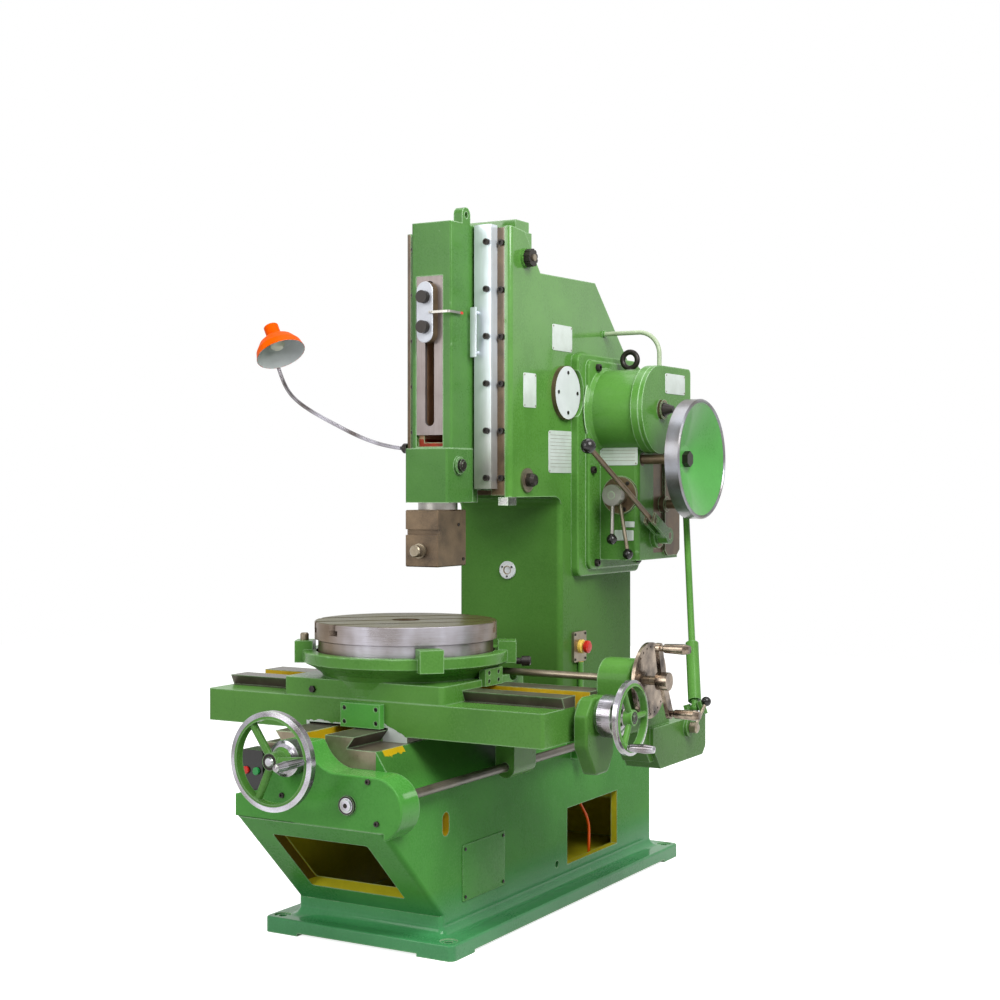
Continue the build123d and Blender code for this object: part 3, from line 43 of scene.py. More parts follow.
# a value in a material's tree: Python operators on it add Math nodes
class Flow:
    def __init__(self, paint, socket):
        self.paint = paint
        self.socket = socket

    def calc(self, operation, other, swapped=False):
        pair = (other, self) if swapped else (self, other)
        return self.paint.add("ShaderNodeMath", {"operation": operation}, {0: pair[0], 1: pair[1]})

    def __add__(self, other):
        return self.calc("ADD", other)

    def __radd__(self, other):
        return self.calc("ADD", other, True)

    def __sub__(self, other):
        return self.calc("SUBTRACT", other)

    def __rsub__(self, other):
        return self.calc("SUBTRACT", other, True)

    def __mul__(self, other):
        return self.calc("MULTIPLY", other)

    def __rmul__(self, other):
        return self.calc("MULTIPLY", other, True)

    def __truediv__(self, other):
        return self.calc("DIVIDE", other)

    def __pow__(self, other):
        return self.calc("POWER", other)

    def __gt__(self, other):
        return self.calc("GREATER_THAN", other)

    def __lt__(self, other):
        return self.calc("LESS_THAN", other)

    def most(self, other):
        return self.calc("MAXIMUM", other)

    def clamp(self):
        return self.paint.add("ShaderNodeClamp", sockets={0: self})


# a material under construction: add() is the one way to put a node in it
class Paint:
    def __init__(self, name):
        self.material = bpy.data.materials.new(name)
        self.material.use_nodes = True
        self.tree = self.material.node_tree
        self.tree.nodes.clear()
        self.place = self.add("ShaderNodeTexCoord", out="Object")
        split = self.add("ShaderNodeSeparateXYZ", sockets={0: self.place}).socket.node
        self.x, self.y, self.z = (Flow(self, split.outputs[i]) for i in range(3))

    def add(self, kind, settings=None, sockets=None, out=0):
        node = self.tree.nodes.new(kind)
        for key, value in (settings or {}).items():
            setattr(node, key, value)
        for key, value in (sockets or {}).items():
            if isinstance(value, Flow):
                self.tree.links.new(value.socket, node.inputs[key])
            else:
                node.inputs[key].default_value = value
        return Flow(self, node.outputs[out]) if node.outputs else None

    def mixColour(self, factor, first, second):
        return self.add("ShaderNodeMix", {"data_type": "RGBA"}, {0: factor, 6: first, 7: second}, out=2)

    def mixValue(self, factor, first, second):
        if not isinstance(first, Flow) and first == second:
            return first
        return factor * (second - first) + first

    def noise(self, scale, detail=3.0, stretch=None, roughness=0.55):
        place = self.place
        if stretch:
            place = self.add("ShaderNodeMapping", sockets={0: place, "Scale": stretch})
        return self.add("ShaderNodeTexNoise", sockets={0: place, "Scale": scale, "Detail": detail,
                                                       "Roughness": roughness})

    def streaks(self, way):  # noise along one measure, such as a radius
        return self.add("ShaderNodeTexNoise", {"noise_dimensions": "1D"}, {"W": way, "Scale": 1.0, "Detail": 2.0})

    def edge(self, width):  # rises on edges: how far a rounded normal leaves the true one
        rounded = self.add("ShaderNodeBevel", {"samples": 4}, {"Radius": width})
        true = self.add("ShaderNodeNewGeometry", out="Normal")
        return 1 - self.add("ShaderNodeVectorMath", {"operation": "DOT_PRODUCT"}, {0: rounded, 1: true}, out=1)

    def inside(self, low, high):  # 1 in a box, low and high in mm, None where a side is open
        mask = None
        for flow, a, b in zip((self.x, self.y, self.z), low, high):
            for test in ([] if a is None else [flow > a / 1000]) + ([] if b is None else [flow < b / 1000]):
                mask = test if mask is None else mask * test
        return mask

    def distance(self, centre):  # from a point in mm, in metres
        a, b, c = (flow - value / 1000 for flow, value in zip((self.x, self.y, self.z), centre))
        return (a * a + b * b + c * c) ** 0.5

    def offsets(self, axis, centre):  # the two measures across a line along x, y or z, in metres; centre in mm
        pair = {"x": (self.y, self.z), "y": (self.x, self.z), "z": (self.x, self.y)}[axis]
        return [flow - value / 1000 for flow, value in zip(pair, centre)]

    def radius(self, axis, centre):  # distance from such a line, in metres
        a, b = self.offsets(axis, centre)
        return (a * a + b * b) ** 0.5

    def angle(self, axis, centre):  # turn about such a line, in radians
        a, b = self.offsets(axis, centre)
        return b.calc("ARCTAN2", a)

    def close(self, colour, rough, metal, height, coat, gloss):  # height in mm
        bump = self.add("ShaderNodeBump", sockets={"Height": height, "Strength": 1.0, "Distance": 1 / 1000})
        shader = self.add("ShaderNodeBsdfPrincipled", sockets={
            "Base Color": colour, "Roughness": rough, "Metallic": metal, "Normal": bump,
            "Coat Weight": coat, "Coat Roughness": 0.1, "Specular IOR Level": gloss})
        self.add("ShaderNodeOutputMaterial", sockets={0: shader})
        return self.material


# lines that pieces turn about or are round: the way each runs and the two measures across it, in mm
axes = dict(table=("z", (0, -460)), frontWheel=("y", (-40, 525)), crossWheel=("x", (-465, 619)),
            barring=("x", (330, 1288)), pivot=("x", (133, 1487)), upperClamp=("x", (-105, 1863)),
            sight=("y", (-4, 951)), selector=("y", (286, 1179)), selectorHub=("y", (290, 1179)),
            endCover=("x", (345, 1440)), coverKey=("y", (123, 417)))


# linear colour of an sRGB triple given as 0 to 255
def tint(red, green, blue):
    srgb = np.array([red, green, blue]) / 255
    return tuple(np.where(srgb < 0.04045, srgb / 12.92, ((srgb + 0.055) / 1.055) ** 2.4))


# a finish: settings that it shares, its lighter and darker colour, and what it has of its own
def blend(shared, colour, shade, **own):
    return dict(shared, colour=tint(*colour), shade=tint(*shade), **own)


# shared settings: scale of the patches, roughness and its spread, metal, then scale and depth (in mm) of a slow wave
# and of a fine grain
enamel = dict(patch=5.0, rough=0.28, vary=0.14, metal=0.0, wave=24.0, waveDepth=0.8, grain=170.0, grainDepth=0.2)
sprayed = dict(patch=12.0, rough=0.3, vary=0.08, metal=0.0, wave=40.0, waveDepth=0.1, grain=260.0, grainDepth=0.06)
brushed = dict(patch=9.0, rough=0.5, vary=0.15, metal=0.0, wave=30.0, waveDepth=0.8, grain=160.0, grainDepth=0.3)
ground = dict(patch=9.0, rough=0.34, vary=0.14, metal=0.6, wave=60.0, waveDepth=0.04, grain=300.0, grainDepth=0.08)
machined = dict(patch=16.0, rough=0.34, vary=0.14, metal=0.75, wave=60.0, waveDepth=0.05, grain=420.0,
                grainDepth=0.06)
# polished metal: its light and dark patches are painted reflections
polishedWithPaintedReflections = dict(patch=13.0, detail=1.0, contrast=2.4, rough=0.2, vary=0.08, metal=0.9, wave=60.0, waveDepth=0.03,
                grain=420.0, grainDepth=0.03)
corroded = dict(patch=20.0, rough=0.5, vary=0.18, metal=0.45, wave=50.0, waveDepth=0.1, grain=360.0, grainDepth=0.1)
moulded = dict(patch=20.0, rough=0.28, vary=0.08, metal=0.0, wave=60.0, waveDepth=0.03, grain=400.0, grainDepth=0.03)

finishes = {
    "greenEnamel": blend(enamel, (92, 146, 64), (68, 116, 46)),
    "bedGreen": blend(enamel, (88, 164, 72), (64, 132, 52)),
    "baseGreen": blend(enamel, (82, 166, 104), (58, 134, 80)),
    # painted shadow: a darker green for the bed's shoulder under the cross slide
    "oilyGreen": blend(enamel, (68, 114, 48), (48, 86, 36), patch=7.0, rough=0.3),
    "ramGreen": blend(enamel, (80, 130, 60), (60, 104, 46)),
    "dishGreen": blend(enamel, (86, 164, 78), (70, 140, 60), patch=6.0, rough=0.3, vary=0.12, waveDepth=0.6),
    "paleGreen": blend(sprayed, (176, 190, 160), (146, 160, 130), patch=18.0, rough=0.36, vary=0.14, waveDepth=0.2,
                       grainDepth=0.1),
    "orangeEnamel": blend(sprayed, (240, 98, 0), (228, 80, 0), rough=0.4, vary=0.06, grain=300.0, grainDepth=0.05),
    "whiteEnamel": blend(sprayed, (216, 220, 222), (196, 200, 202)),
    "yellowPaint": blend(brushed, (206, 172, 26), (158, 130, 18), rough=0.42),
    "cavityYellow": blend(brushed, (206, 198, 42), (174, 164, 32)),
    # painted shade: dark olive for the bed's yellow inside where shade falls
    "olivePrimer": blend(brushed, (120, 98, 26), (82, 66, 18)),
    "slidePlate": blend(ground, (142, 134, 132), (98, 88, 84), lay=(1, 1, 0.04)),
    "keeperSteel": blend(ground, (224, 232, 240), (186, 192, 196), patch=5.0, rough=0.3, metal=0.45, grain=260.0,
                         grainDepth=0.12, lay=(1, 1, 0.03)),
    "clampSteel": blend(ground, (188, 192, 200), (160, 162, 168), patch=12.0, rough=0.42, vary=0.12, metal=0.25),
    "tableSide": blend(ground, (194, 192, 204), (118, 108, 100), rough=0.3, vary=0.16, metal=0.75, grain=700.0,
                       grainDepth=0.1, lay=(0.02, 0.02, 1), sweep=axes["table"], contrast=2.6),
    # oil film and painted shade for the rotary table's side
    "oilFilm": blend(ground, (124, 102, 68), (86, 68, 44), rough=0.32, metal=0.7, grain=700.0, grainDepth=0.1,
                     lay=(0.02, 0.02, 1)),
    "tableTop": blend(ground, (90, 86, 52), (62, 58, 32), patch=10.0, rough=0.3, vary=0.16, metal=0.0, wave=40.0,
                      waveDepth=0.05, grain=900.0, grainDepth=0.1, rings=axes["table"]),
    "iron": blend(machined, (172, 166, 156), (132, 126, 114), patch=14.0, grainDepth=0.08),
    "oiledIron": blend(machined, (108, 102, 90), (66, 60, 50), patch=14.0, vary=0.16, metal=0.3, waveDepth=0.06,
                       grainDepth=0.08),
    "steel": blend(machined, (172, 170, 166), (128, 124, 116), rough=0.3, vary=0.12, metal=0.85, waveDepth=0.03,
                   grainDepth=0.05),
    "wornSteel": blend(machined, (160, 150, 132), (112, 100, 82), patch=22.0, rough=0.32, vary=0.16),
    "bright": blend(machined, (190, 190, 188), (132, 130, 126), rough=0.18, vary=0.08, metal=1.0, waveDepth=0.02,
                    grainDepth=0.03),
    "blackened": blend(machined, (50, 44, 40), (30, 27, 25), patch=20.0, rough=0.38, vary=0.16, metal=0.45),
    "bronze": blend(machined, (176, 132, 62), (140, 100, 44), patch=20.0, vary=0.12, metal=0.95, waveDepth=0.04),
    "plateSilver": blend(machined, (212, 220, 216), (186, 194, 186), patch=24.0, vary=0.1, metal=0.1, waveDepth=0.03,
                         grainDepth=0.05),
    "chrome": blend(polishedWithPaintedReflections, (188, 186, 196), (74, 64, 56)),
    "agedChrome": blend(polishedWithPaintedReflections, (172, 156, 138), (56, 44, 36), patch=20.0, detail=2.0, contrast=3.2, wave=28.0,
                        waveDepth=0.6),
    "wheelRim": blend(polishedWithPaintedReflections, (138, 140, 148), (80, 72, 62), rough=0.34, vary=0.1, metal=0.85),
    "brownSteel": blend(corroded, (124, 104, 80), (56, 46, 36), patch=16.0, rough=0.4),
    "rust": blend(corroded, (170, 52, 26), (84, 34, 22), patch=30.0, metal=0.1),
    # brown paint lightened with painted light, for the inside of the ram's deep slot
    "brownPaint": blend(corroded, (196, 156, 122), (160, 122, 92), vary=0.12, metal=0.0),
    "blackPlastic": blend(moulded, (28, 25, 24), (16, 14, 14), rough=0.22, grainDepth=0.04),
    "redPlastic": blend(moulded, (206, 40, 28), (178, 28, 20)),
    "greenPlastic": blend(moulded, (30, 150, 70), (20, 120, 54)),
    "yellowPlastic": blend(moulded, (236, 202, 96), (218, 180, 70), rough=0.32),
    "rubber": blend(moulded, (30, 30, 30), (20, 20, 20), rough=0.7, vary=0.1, waveDepth=0.1, grainDepth=0.1),
    "lampGlass": blend(moulded, (246, 242, 226), (234, 230, 214), rough=0.25, vary=0.05, waveDepth=0.02,
                       grainDepth=0.02),
}

# for every finish that doesn't set them itself: detail of the noises, share of the patches in the tone, bands round
# an axis, contrast of the tone, and what the grain adds to the roughness
laying = dict(detail=4.0, fineDetail=2.0, patchShare=0.75, bandRate=2.4, bandShare=0.4, contrast=2.0, grainRough=0.08)
# paint worn off the edges, with painted highlights along them: width of an edge in metres, weights of edge and chips,
# where wear and highlight start and how fast
edgeWearAndHighlight = dict(width=0.006, edge=6, chips=2.2, chipScale=34.0, chipDetail=4.0, start=1.6, rate=2.5, share=0.65,
               colour=tint(176, 208, 168), rough=0.12)
# dirt and painted shade, darker towards the floor
soilingAndShade = dict(rate=1.2, scale=5.0, detail=5.0, colour=tint(34, 40, 18))


# one finish as colour, roughness, metal and height: broad patches, a slow wave and a fine grain,
# the grain drawn out along a direction (lay) or round an axis (rings) where a tool has cut it
def layFinish(paint, name):
    f = dict(laying, **finishes[name])
    patches = paint.noise(f["patch"], f["detail"])
    wave = paint.noise(f["wave"], f["fineDetail"])
    grain = paint.streaks(paint.radius(*f["rings"]) * f["grain"]) if "rings" in f \
        else paint.noise(f["grain"], f["fineDetail"], f.get("lay"))
    tone = patches * f["patchShare"] + grain * (1 - f["patchShare"])
    if "sweep" in f:  # slow bands round an axis: painted reflections and oil film
        bands = paint.streaks(paint.angle(*f["sweep"]) * f["bandRate"])
        tone = tone * (1 - f["bandShare"]) + bands * f["bandShare"]
    tone = ((tone - 0.5) * f["contrast"] + 0.5).clamp()
    colour = paint.mixColour(tone, (*f["shade"], 1.0), (*f["colour"], 1.0))
    rough = f["rough"] + f["vary"] * (patches - 0.5) + f["grainRough"] * (grain - 0.5)
    height = wave * f["waveDepth"] + grain * f["grainDepth"]  # in mm
    return dict(colour=colour, rough=rough, metal=f["metal"], height=height)


# a material over one or more pieces: a base finish, other finishes where their masks are 1, then paint worn
# off the edges with painted highlights, dirt and painted shade below a top height (in metres) and a relief in mm
def finishNode(names, base, zones=(), coat=0.0, wearAndHighlight=0.0, grimeAndShade=0.0, relief=None, gloss=0.4, grimeAndShadeTop=0.8):
    names = [names] if isinstance(names, str) else list(names)
    paint = Paint(names[0] + "Finish")
    now = layFinish(paint, base)
    for name, mask in zones:
        extra = layFinish(paint, name)
        cover = mask(paint)
        for key in now:
            mix = paint.mixColour if key == "colour" else paint.mixValue
            now[key] = mix(cover, now[key], extra[key])
    # edges made lighter: worn paint and painted highlights along them
    if wearAndHighlight:
        w = edgeWearAndHighlight
        chips = paint.noise(w["chipScale"], w["chipDetail"])
        bareAndHighlight = paint.edge(w["width"]) * w["edge"] + chips * w["chips"] - w["start"]
        bareAndHighlight = (bareAndHighlight * w["rate"]).clamp() * (wearAndHighlight * w["share"])
        now["colour"] = paint.mixColour(bareAndHighlight, now["colour"], (*w["colour"], 1.0))
        now["rough"] = now["rough"] + bareAndHighlight * w["rough"]
    # darker towards the floor: dirt and painted shade
    if grimeAndShade:
        dirtAndShade = ((grimeAndShadeTop - paint.z) * soilingAndShade["rate"]).clamp() * paint.noise(soilingAndShade["scale"], soilingAndShade["detail"])
        now["colour"] = paint.mixColour(dirtAndShade * grimeAndShade, now["colour"], (*soilingAndShade["colour"], 1.0))
    if relief:
        now["height"] = now["height"] + relief(paint)
    material = paint.close(**now, coat=coat(paint) if callable(coat) else coat, gloss=gloss)
    for name in names:
        data = (nodes[name] if name in nodes else bpy.data.objects[name]).data
        data.materials.clear()
        data.materials.append(material)


# masks: each takes the material under construction and is 1 where a finish goes; measures in mm
def zone(low, high):  # in a box, None where a side is open
    return lambda paint: paint.inside(low, high)


def along(axis, low=None, high=None):  # between two marks along x, y or z
    return zone([low if name == axis else None for name in "xyz"], [high if name == axis else None for name in "xyz"])


def anyOf(*tests):
    def cover(paint):
        total = tests[0](paint)
        for test in tests[1:]:
            total = total.most(test(paint))
        return total
    return cover


def allOf(*tests):
    def cover(paint):
        total = tests[0](paint)
        for test in tests[1:]:
            total = total * test(paint)
        return total
    return cover


def boxes(marks, *names):  # in any of a piece's named boxes
    return anyOf(*[zone(*marks[name]) for name in names])


def byHeight(start, rate, share=1.0, least=0.0):  # grows above a height, or below it where the rate is negative
    return lambda paint: ((paint.z - start / 1000) * rate).clamp() * share + least


def tube(axis, centre, low, high):  # between two radii about a line
    def cover(paint):
        r = paint.radius(axis, centre)
        return (r > low / 1000) * (r < high / 1000)
    return cover


def disc(axis, centre, high):  # within a radius of a line
    return lambda paint: paint.radius(axis, centre) < high / 1000


def ball(centre, radius):  # within a distance of a point
    return lambda paint: paint.distance(centre) < radius / 1000


def ticks(axis, centre, count, share=0.16):  # dial lines: a share of each of count equal turns
    return lambda paint: (paint.angle(axis, centre) * (count / (2 * math.pi))).calc("FRACT", 0.0) < share


def inward(point, direction):  # the inner wall of a shell turned about a line through a point
    def cover(paint):
        away = paint.add("ShaderNodeVectorMath", {"operation": "SUBTRACT"},
                         {0: paint.place, 1: [value / 1000 for value in point]})
        length = paint.add("ShaderNodeVectorMath", {"operation": "DOT_PRODUCT"}, {0: away, 1: direction}, out=1)
        foot = paint.add("ShaderNodeVectorMath", {"operation": "SCALE"}, {0: direction, "Scale": length})
        radial = paint.add("ShaderNodeVectorMath", {"operation": "SUBTRACT"}, {0: away, 1: foot})
        normal = paint.add("ShaderNodeTexCoord", out="Normal")
        return paint.add("ShaderNodeVectorMath", {"operation": "DOT_PRODUCT"}, {0: normal, 1: radial}, out=1) < 0.0
    return cover


# reliefs in mm
def thread(axis, centre, pitch, depth):  # screw thread: depth sin(2 pi s / pitch + turn), s along the axis
    def lift(paint):
        way = {"x": paint.x, "y": paint.y, "z": paint.z}[axis] * (2000 * math.pi / pitch)
        return (way + paint.angle(axis, centre)).calc("SINE", 0.0) * depth
    return lift


def coils(point, pitch, depth):  # gooseneck: depth sin(2 pi s / pitch), s the distance from its foot
    return lambda paint: (paint.distance(point) * (2000 * math.pi / pitch)).calc("SINE", 0.0) * depth


# how finely small pieces are drawn, how far they are sunk into what they sit on (mm), and the angle of a sharp edge
drawn = dict(plate=64, bevel=5, head=36, corner=9, pipe=14, sunk=0.2, sharp=32)


# skin over rings of points (rows along the shape, columns round it), with each end closed by one face
def skin(rings):
    rows, columns = rings.shape[:2]
    index = np.arange(rows * columns).reshape(rows, columns)
    after = np.roll(index, -1, axis=1)
    sides = np.stack([index[:-1], after[:-1], after[1:], index[1:]], axis=-1).reshape(-1, 4)
    return rings.reshape(-1, 3), sides.tolist() + [index[0].tolist(), index[-1].tolist()]


# plate: superellipse outline |u/a|^n + |v/b|^n = 1, drawn in by b(1 - cos t) while it rises by b sin t at the edge
def plate(centre, across, up, width, height, thick, bevel=0.6, power=16.0):
    turn = np.linspace(0, 2 * np.pi, drawn["plate"], endpoint=False)
    corner = np.stack([np.cos(turn), np.sin(turn)])
    outline = np.sign(corner) * np.abs(corner) ** (2 / power)
    bend = np.linspace(0, np.pi / 2, drawn["bevel"])
    inset = np.concatenate([[0], bevel * (1 - np.cos(bend))])[:, None]
    rise = np.concatenate([[-drawn["sunk"]], thick - bevel + bevel * np.sin(bend)])[:, None]
    u, v = outline[0] * (width / 2 - inset), outline[1] * (height / 2 - inset)
    out = np.cross(across, up)
    return skin(np.array(centre, float) + u[..., None] * np.array(across) + v[..., None] * np.array(up)
                + (rise + 0 * u)[..., None] * out)


# shares of a screw head's height and radius round its outer edge, the reach of a six-sided head, and the height at
# which the socket ends in a six-sided and in a round one
headShape = dict(start=0.84, half=0.95, sixReach=1.1, sixDeep=0.92, roundDeep=0.45)


# screw head: a turned profile of height and radius about an axis, round outside or six-sided, with a six-sided
# socket; a hexagon's radius is r cos 30 / cos(turn from the middle of its side)
def screwHead(centre, out, radius, height, socket=0.52, sixSided=False):
    h = headShape
    turn = np.linspace(0, 2 * np.pi, drawn["head"], endpoint=False)
    hexagon = np.cos(np.pi / 6) / np.cos(turn % (np.pi / 3) - np.pi / 6)
    outer = hexagon * h["sixReach"] if sixSided else np.ones_like(turn)
    deep = height * (h["sixDeep"] if sixSided else h["roundDeep"])
    rise = np.array([-drawn["sunk"], h["start"] * height, h["half"] * height, height, height, deep])
    reach = np.stack([radius * outer, radius * outer, h["half"] * radius * outer,
                      h["start"] * radius * np.ones_like(turn), socket * radius * hexagon, socket * radius * hexagon])
    out = np.array(out, float)
    side = np.cross(out, (0.0, 0.0, 1.0) if abs(out[2]) < 0.9 else (1.0, 0.0, 0.0))
    over = np.cross(out, side)
    rings = np.array(centre, float) + rise[:, None, None] * out + (reach * np.cos(turn))[..., None] * side \
        + (reach * np.sin(turn))[..., None] * over
    return skin(rings)


# strip or pipe: a flat section (across the path and up) or a round one carried along a path with rounded corners;
# each corner is replaced by the curve (1-t)^2 a + 2t(1-t) corner + t^2 b
def alongPath(path, corner, section):
    path = np.array(path, float)
    points = [path[:1]]
    t = np.linspace(0, 1, drawn["corner"])[:, None]
    for before, here, later in zip(path[:-2], path[1:-1], path[2:]):
        a = here + (before - here) * corner / np.linalg.norm(before - here)
        b = here + (later - here) * corner / np.linalg.norm(later - here)
        points.append((1 - t) ** 2 * a + 2 * t * (1 - t) * here + t ** 2 * b)
    line = np.concatenate(points + [path[-1:]])
    ahead = np.gradient(line, axis=0)
    ahead /= np.linalg.norm(ahead, axis=1, keepdims=True)
    flat = np.cross(path[1] - path[0], path[-1] - path[-2])
    up = np.tile(flat / np.linalg.norm(flat), (len(line), 1))
    side = np.cross(ahead, up)
    section = np.array(section, float)
    return skin(line[:, None] + section[None, :, :1] * side[:, None] + section[None, :, 1:] * up[:, None])


pieces = []


# mesh of several skins given in mm, its faces turned outwards and its sharp edges kept
def makePiece(name, skins, body):
    starts = np.cumsum([0] + [len(points) for points, faces in skins])
    faces = [[corner + int(start) for corner in face] for start, (points, faces) in zip(starts, skins)
             for face in faces]
    mesh = bpy.data.meshes.new(name)
    mesh.from_pydata((np.concatenate([points for points, faces in skins]) / 1000).tolist(), [], faces)
    work = bmesh.new()
    work.from_mesh(mesh)
    bmesh.ops.recalc_face_normals(work, faces=work.faces)
    work.to_mesh(mesh)
    work.free()
    mesh.shade_smooth()
    mesh.set_sharp_from_angle(angle=math.radians(drawn["sharp"]))
    thing = bpy.data.objects.new(name, mesh)
    bpy.context.scene.collection.objects.link(thing)
    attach(thing, body)
    pieces.append(name)


def lowEnd(node):  # a node's lowest corner at rest, in mm
    return [value * 1000 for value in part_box(node)[0]]


def highEnd(node):
    return [value * 1000 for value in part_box(node)[1]]


def middle(pair):
    return sum(pair) / 2


def span(pair):
    return pair[1] - pair[0]


def trimmed(pair, margin):
    return pair[0] + margin, pair[1] - margin


right, front, back, top = (1, 0, 0), (0, -1, 0), (0, 1, 0), (0, 0, 1)

# bare label plates, the taller ones with a rivet near each corner: face point, way across, width and height
labels = dict(thick=1.6, rivet=(2.4, 1.0), socket=0.2, margin=6, rivetsFrom=40, places=[
    ((178, 121, 1650), back, 126, 78), ((178, -80, 1484), back, 76, 100), ((178, 114, 1309), back, 160, 126),
    ((279, 300, 1303), right, 130, 66), ((311, 300, 1090), right, 44, 18), ((298, 300, 1056), right, 64, 32),
    ((400, 450, 1522), back, 148, 62)])
rivets, sheets = [], []
for spot, across, width, height in labels["places"]:
    sheets.append(plate(spot, across, top, width, height, labels["thick"]))
    out = np.cross(across, top)
    for u in trimmed((-width / 2, width / 2), labels["margin"]) if height > labels["rivetsFrom"] else ():
        for v in trimmed((-height / 2, height / 2), labels["margin"]):
            foot = np.array(spot) + out * labels["thick"] + u * np.array(across) + v * np.array(top)
            rivets.append(screwHead(foot, out, *labels["rivet"], socket=labels["socket"]))
makePiece("labelPlates", sheets, "frame")
makePiece("labelRivets", rivets, "frame")

# side panel on the bed, with a screw near each corner
panel = dict(face=230, y=(-542, -318), z=(110, 260), thick=3.0, bevel=1.6, power=40.0, screw=(4.5, 3.0), margin=12)
makePiece("sidePanel", [plate((panel["face"], middle(panel["y"]), middle(panel["z"])), back, top, span(panel["y"]),
                              span(panel["z"]), panel["thick"], panel["bevel"], panel["power"])],
          "frame")
makePiece("panelScrews", [screwHead((panel["face"] + panel["thick"], y, z), right, *panel["screw"])
                          for y in trimmed(panel["y"], panel["margin"]) for z in trimmed(panel["z"], panel["margin"])],
          "frame")

# stroke scale on two posts beside the ram, and the pointer bent round the ram's corner
bar = dict(x=(78, 98), y=-245, z=(1572, 1714), thick=3.0, bevel=0.6, power=24, post=(5.0, 23.0), socket=0.3,
           postFoot=-222, margin=14)
makePiece("strokeScale", [plate((middle(bar["x"]), bar["y"], middle(bar["z"])), right, top, span(bar["x"]),
                                span(bar["z"]), bar["thick"], bar["bevel"], bar["power"])]
          + [screwHead((middle(bar["x"]), bar["postFoot"], z), front, *bar["post"], socket=bar["socket"])
             for z in trimmed(bar["z"], bar["margin"])], "head")
pointer = dict(z=1694, thick=2.4, tall=7.0, lap=12, beside=76, end=-284, bend=9.0, screw=(3.6, 2.4), screwIn=6)
clampFace, clampRight = lowEnd("clamp_plate")[1], highEnd("clamp_plate")[0]
half = (pointer["thick"] / 2, pointer["tall"] / 2)
makePiece("strokePointer", [alongPath(
    [(clampRight - pointer["lap"], clampFace - half[0], pointer["z"]),
     (pointer["beside"], clampFace - half[0], pointer["z"]), (pointer["beside"], pointer["end"], pointer["z"])],
    pointer["bend"], [(-half[0], -half[1]), (half[0], -half[1]), (half[0], half[1]), (-half[0], half[1])]),
    screwHead((clampRight - pointer["screwIn"], clampFace - pointer["thick"], pointer["z"]), front,
              *pointer["screw"])], "stroke")


def ring(axis, radius, degrees):  # places round one of the axes: the two measures across it, in mm
    a, b = axes[axis][1]
    return [(a + radius * math.cos(turn), b + radius * math.sin(turn)) for turn in np.radians(degrees)]


# screws: body, radius, height, whether six-sided, and the place and way out of each
screwSets = {
    "pivotScrews": ("frame", 5.5, 2.2, False, [((s * 192, *place), (s, 0, 0)) for s in (-1, 1)
                                               for place in ring("pivot", 60, [0, 180, 90, 270])]),
    "sightScrews": ("frame", 3.0, 1.8, False, [((x, lowEnd("oil_sight")[1], z), front)
                                               for x, z in ring("sight", 19, [30, 150, 270])]),
    "flangeBolts": ("frame", 11.5, 12.0, False, [((216, y, z), right) for y, z in (
        (280, 1570), (246, 1256), (272, 972), (566, 972))]),
    "coverBolts": ("frame", 7.0, 6.0, False, [((x, -910, z), front) for x, z in ((184, 480), (210, 379), (-80, 423))]),
    "plateScrews": ("saddle", 5.4, 5.0, False, [((x, -694, z), front) for x in (-37, 63) for z in (588, 624)]),
    "padScrews": ("cross", 5.4, 7.0, False, [((259, y, z), right) for y in (-462, -412) for z in (686, 708)]),
    "slideBolt": ("cross", 9.0, 8.0, True, [((-156, -676, 663), front)]),
    "selectorScrews": ("frame", 6.0, 4.0, False, [((x, 290, z), front)
                                                  for x, z in ring("selector", 46, [52, 172, 292])]),
    "toolHeadScrews": ("tool", 5.0, 2.4, False, [((54, y, z), right) for y, z in ((-272, 1098), (-246, 1000))]),
    "stopBoxScrews": ("frame", 4.0, 2.2, False, [((187, y, z), right) for y in (190, 256) for z in (680, 756)]),
}
for name, (body, radius, height, sixSided, places) in screwSets.items():
    makePiece(name, [screwHead(place, out, radius, height, sixSided=sixSided) for place, out in places],
              body)

# orange pipe inside the bed, behind the side window, from the floor to the roof
pipe = dict(radius=4.5, bend=40.0, path=[(180, 292, 50), (180, 296, 172), (180, 212, 262), (180, 205, 432)])
pipeTurn = np.linspace(0, 2 * np.pi, drawn["pipe"], endpoint=False)
makePiece("oilPipe", [alongPath(pipe["path"], pipe["bend"],
                                pipe["radius"] * np.stack([np.cos(pipeTurn), np.sin(pipeTurn)], axis=-1))],
          "frame")
print("pieces made,", len(pieces))

# bed: a point of its sloping front face in y and z and the way inwards from it, depths behind that face, boxes as
# low and high corner, and where its scuff and its paler shelf start and how ragged they are
bedMarks = dict(
    slopeFoot=(-642, 93), slopeInward=(0.7004, 0.7137), paint=1.5, wall=26,
    ways=((-196, -827.5, 539.5), (151, 112, None)), wayFronts=((-196, None, 493), (151, -827.5, None)),
    hollow=((-207.9, -880, 57), (207.9, 620, 450)), deep=((-209, -880, 55), (209, 640, 449)),
    frontSill=((-149, -880, 57), (149, -560, 160)), window=((207, 54, 91), (229.5, 391, 258)),
    windowSill=((207, 54, 91), (229.5, 391, 96)), windowEnd=((207, 385, 91), (229.5, 391, 258)),
    trough=((-75, None, 481), (-5, 62, 573)), sideSlot=((189, -690, 290), (229.5, -555, 370)),
    scuff=((150.5, -800, 505), (172, -706, 541)), scuffFrom=524, scuffScale=60.0, scuffRagged=20,
    shelf=((86, -827.5, 539.5), (151, -640, 546)), shelfFrom=-690, shelfRate=9, shelfScale=18.0, shelfRagged=1.2,
    shoulder=((150, -827.5, 400), (None, 112, None)), noiseDetail=4.0)


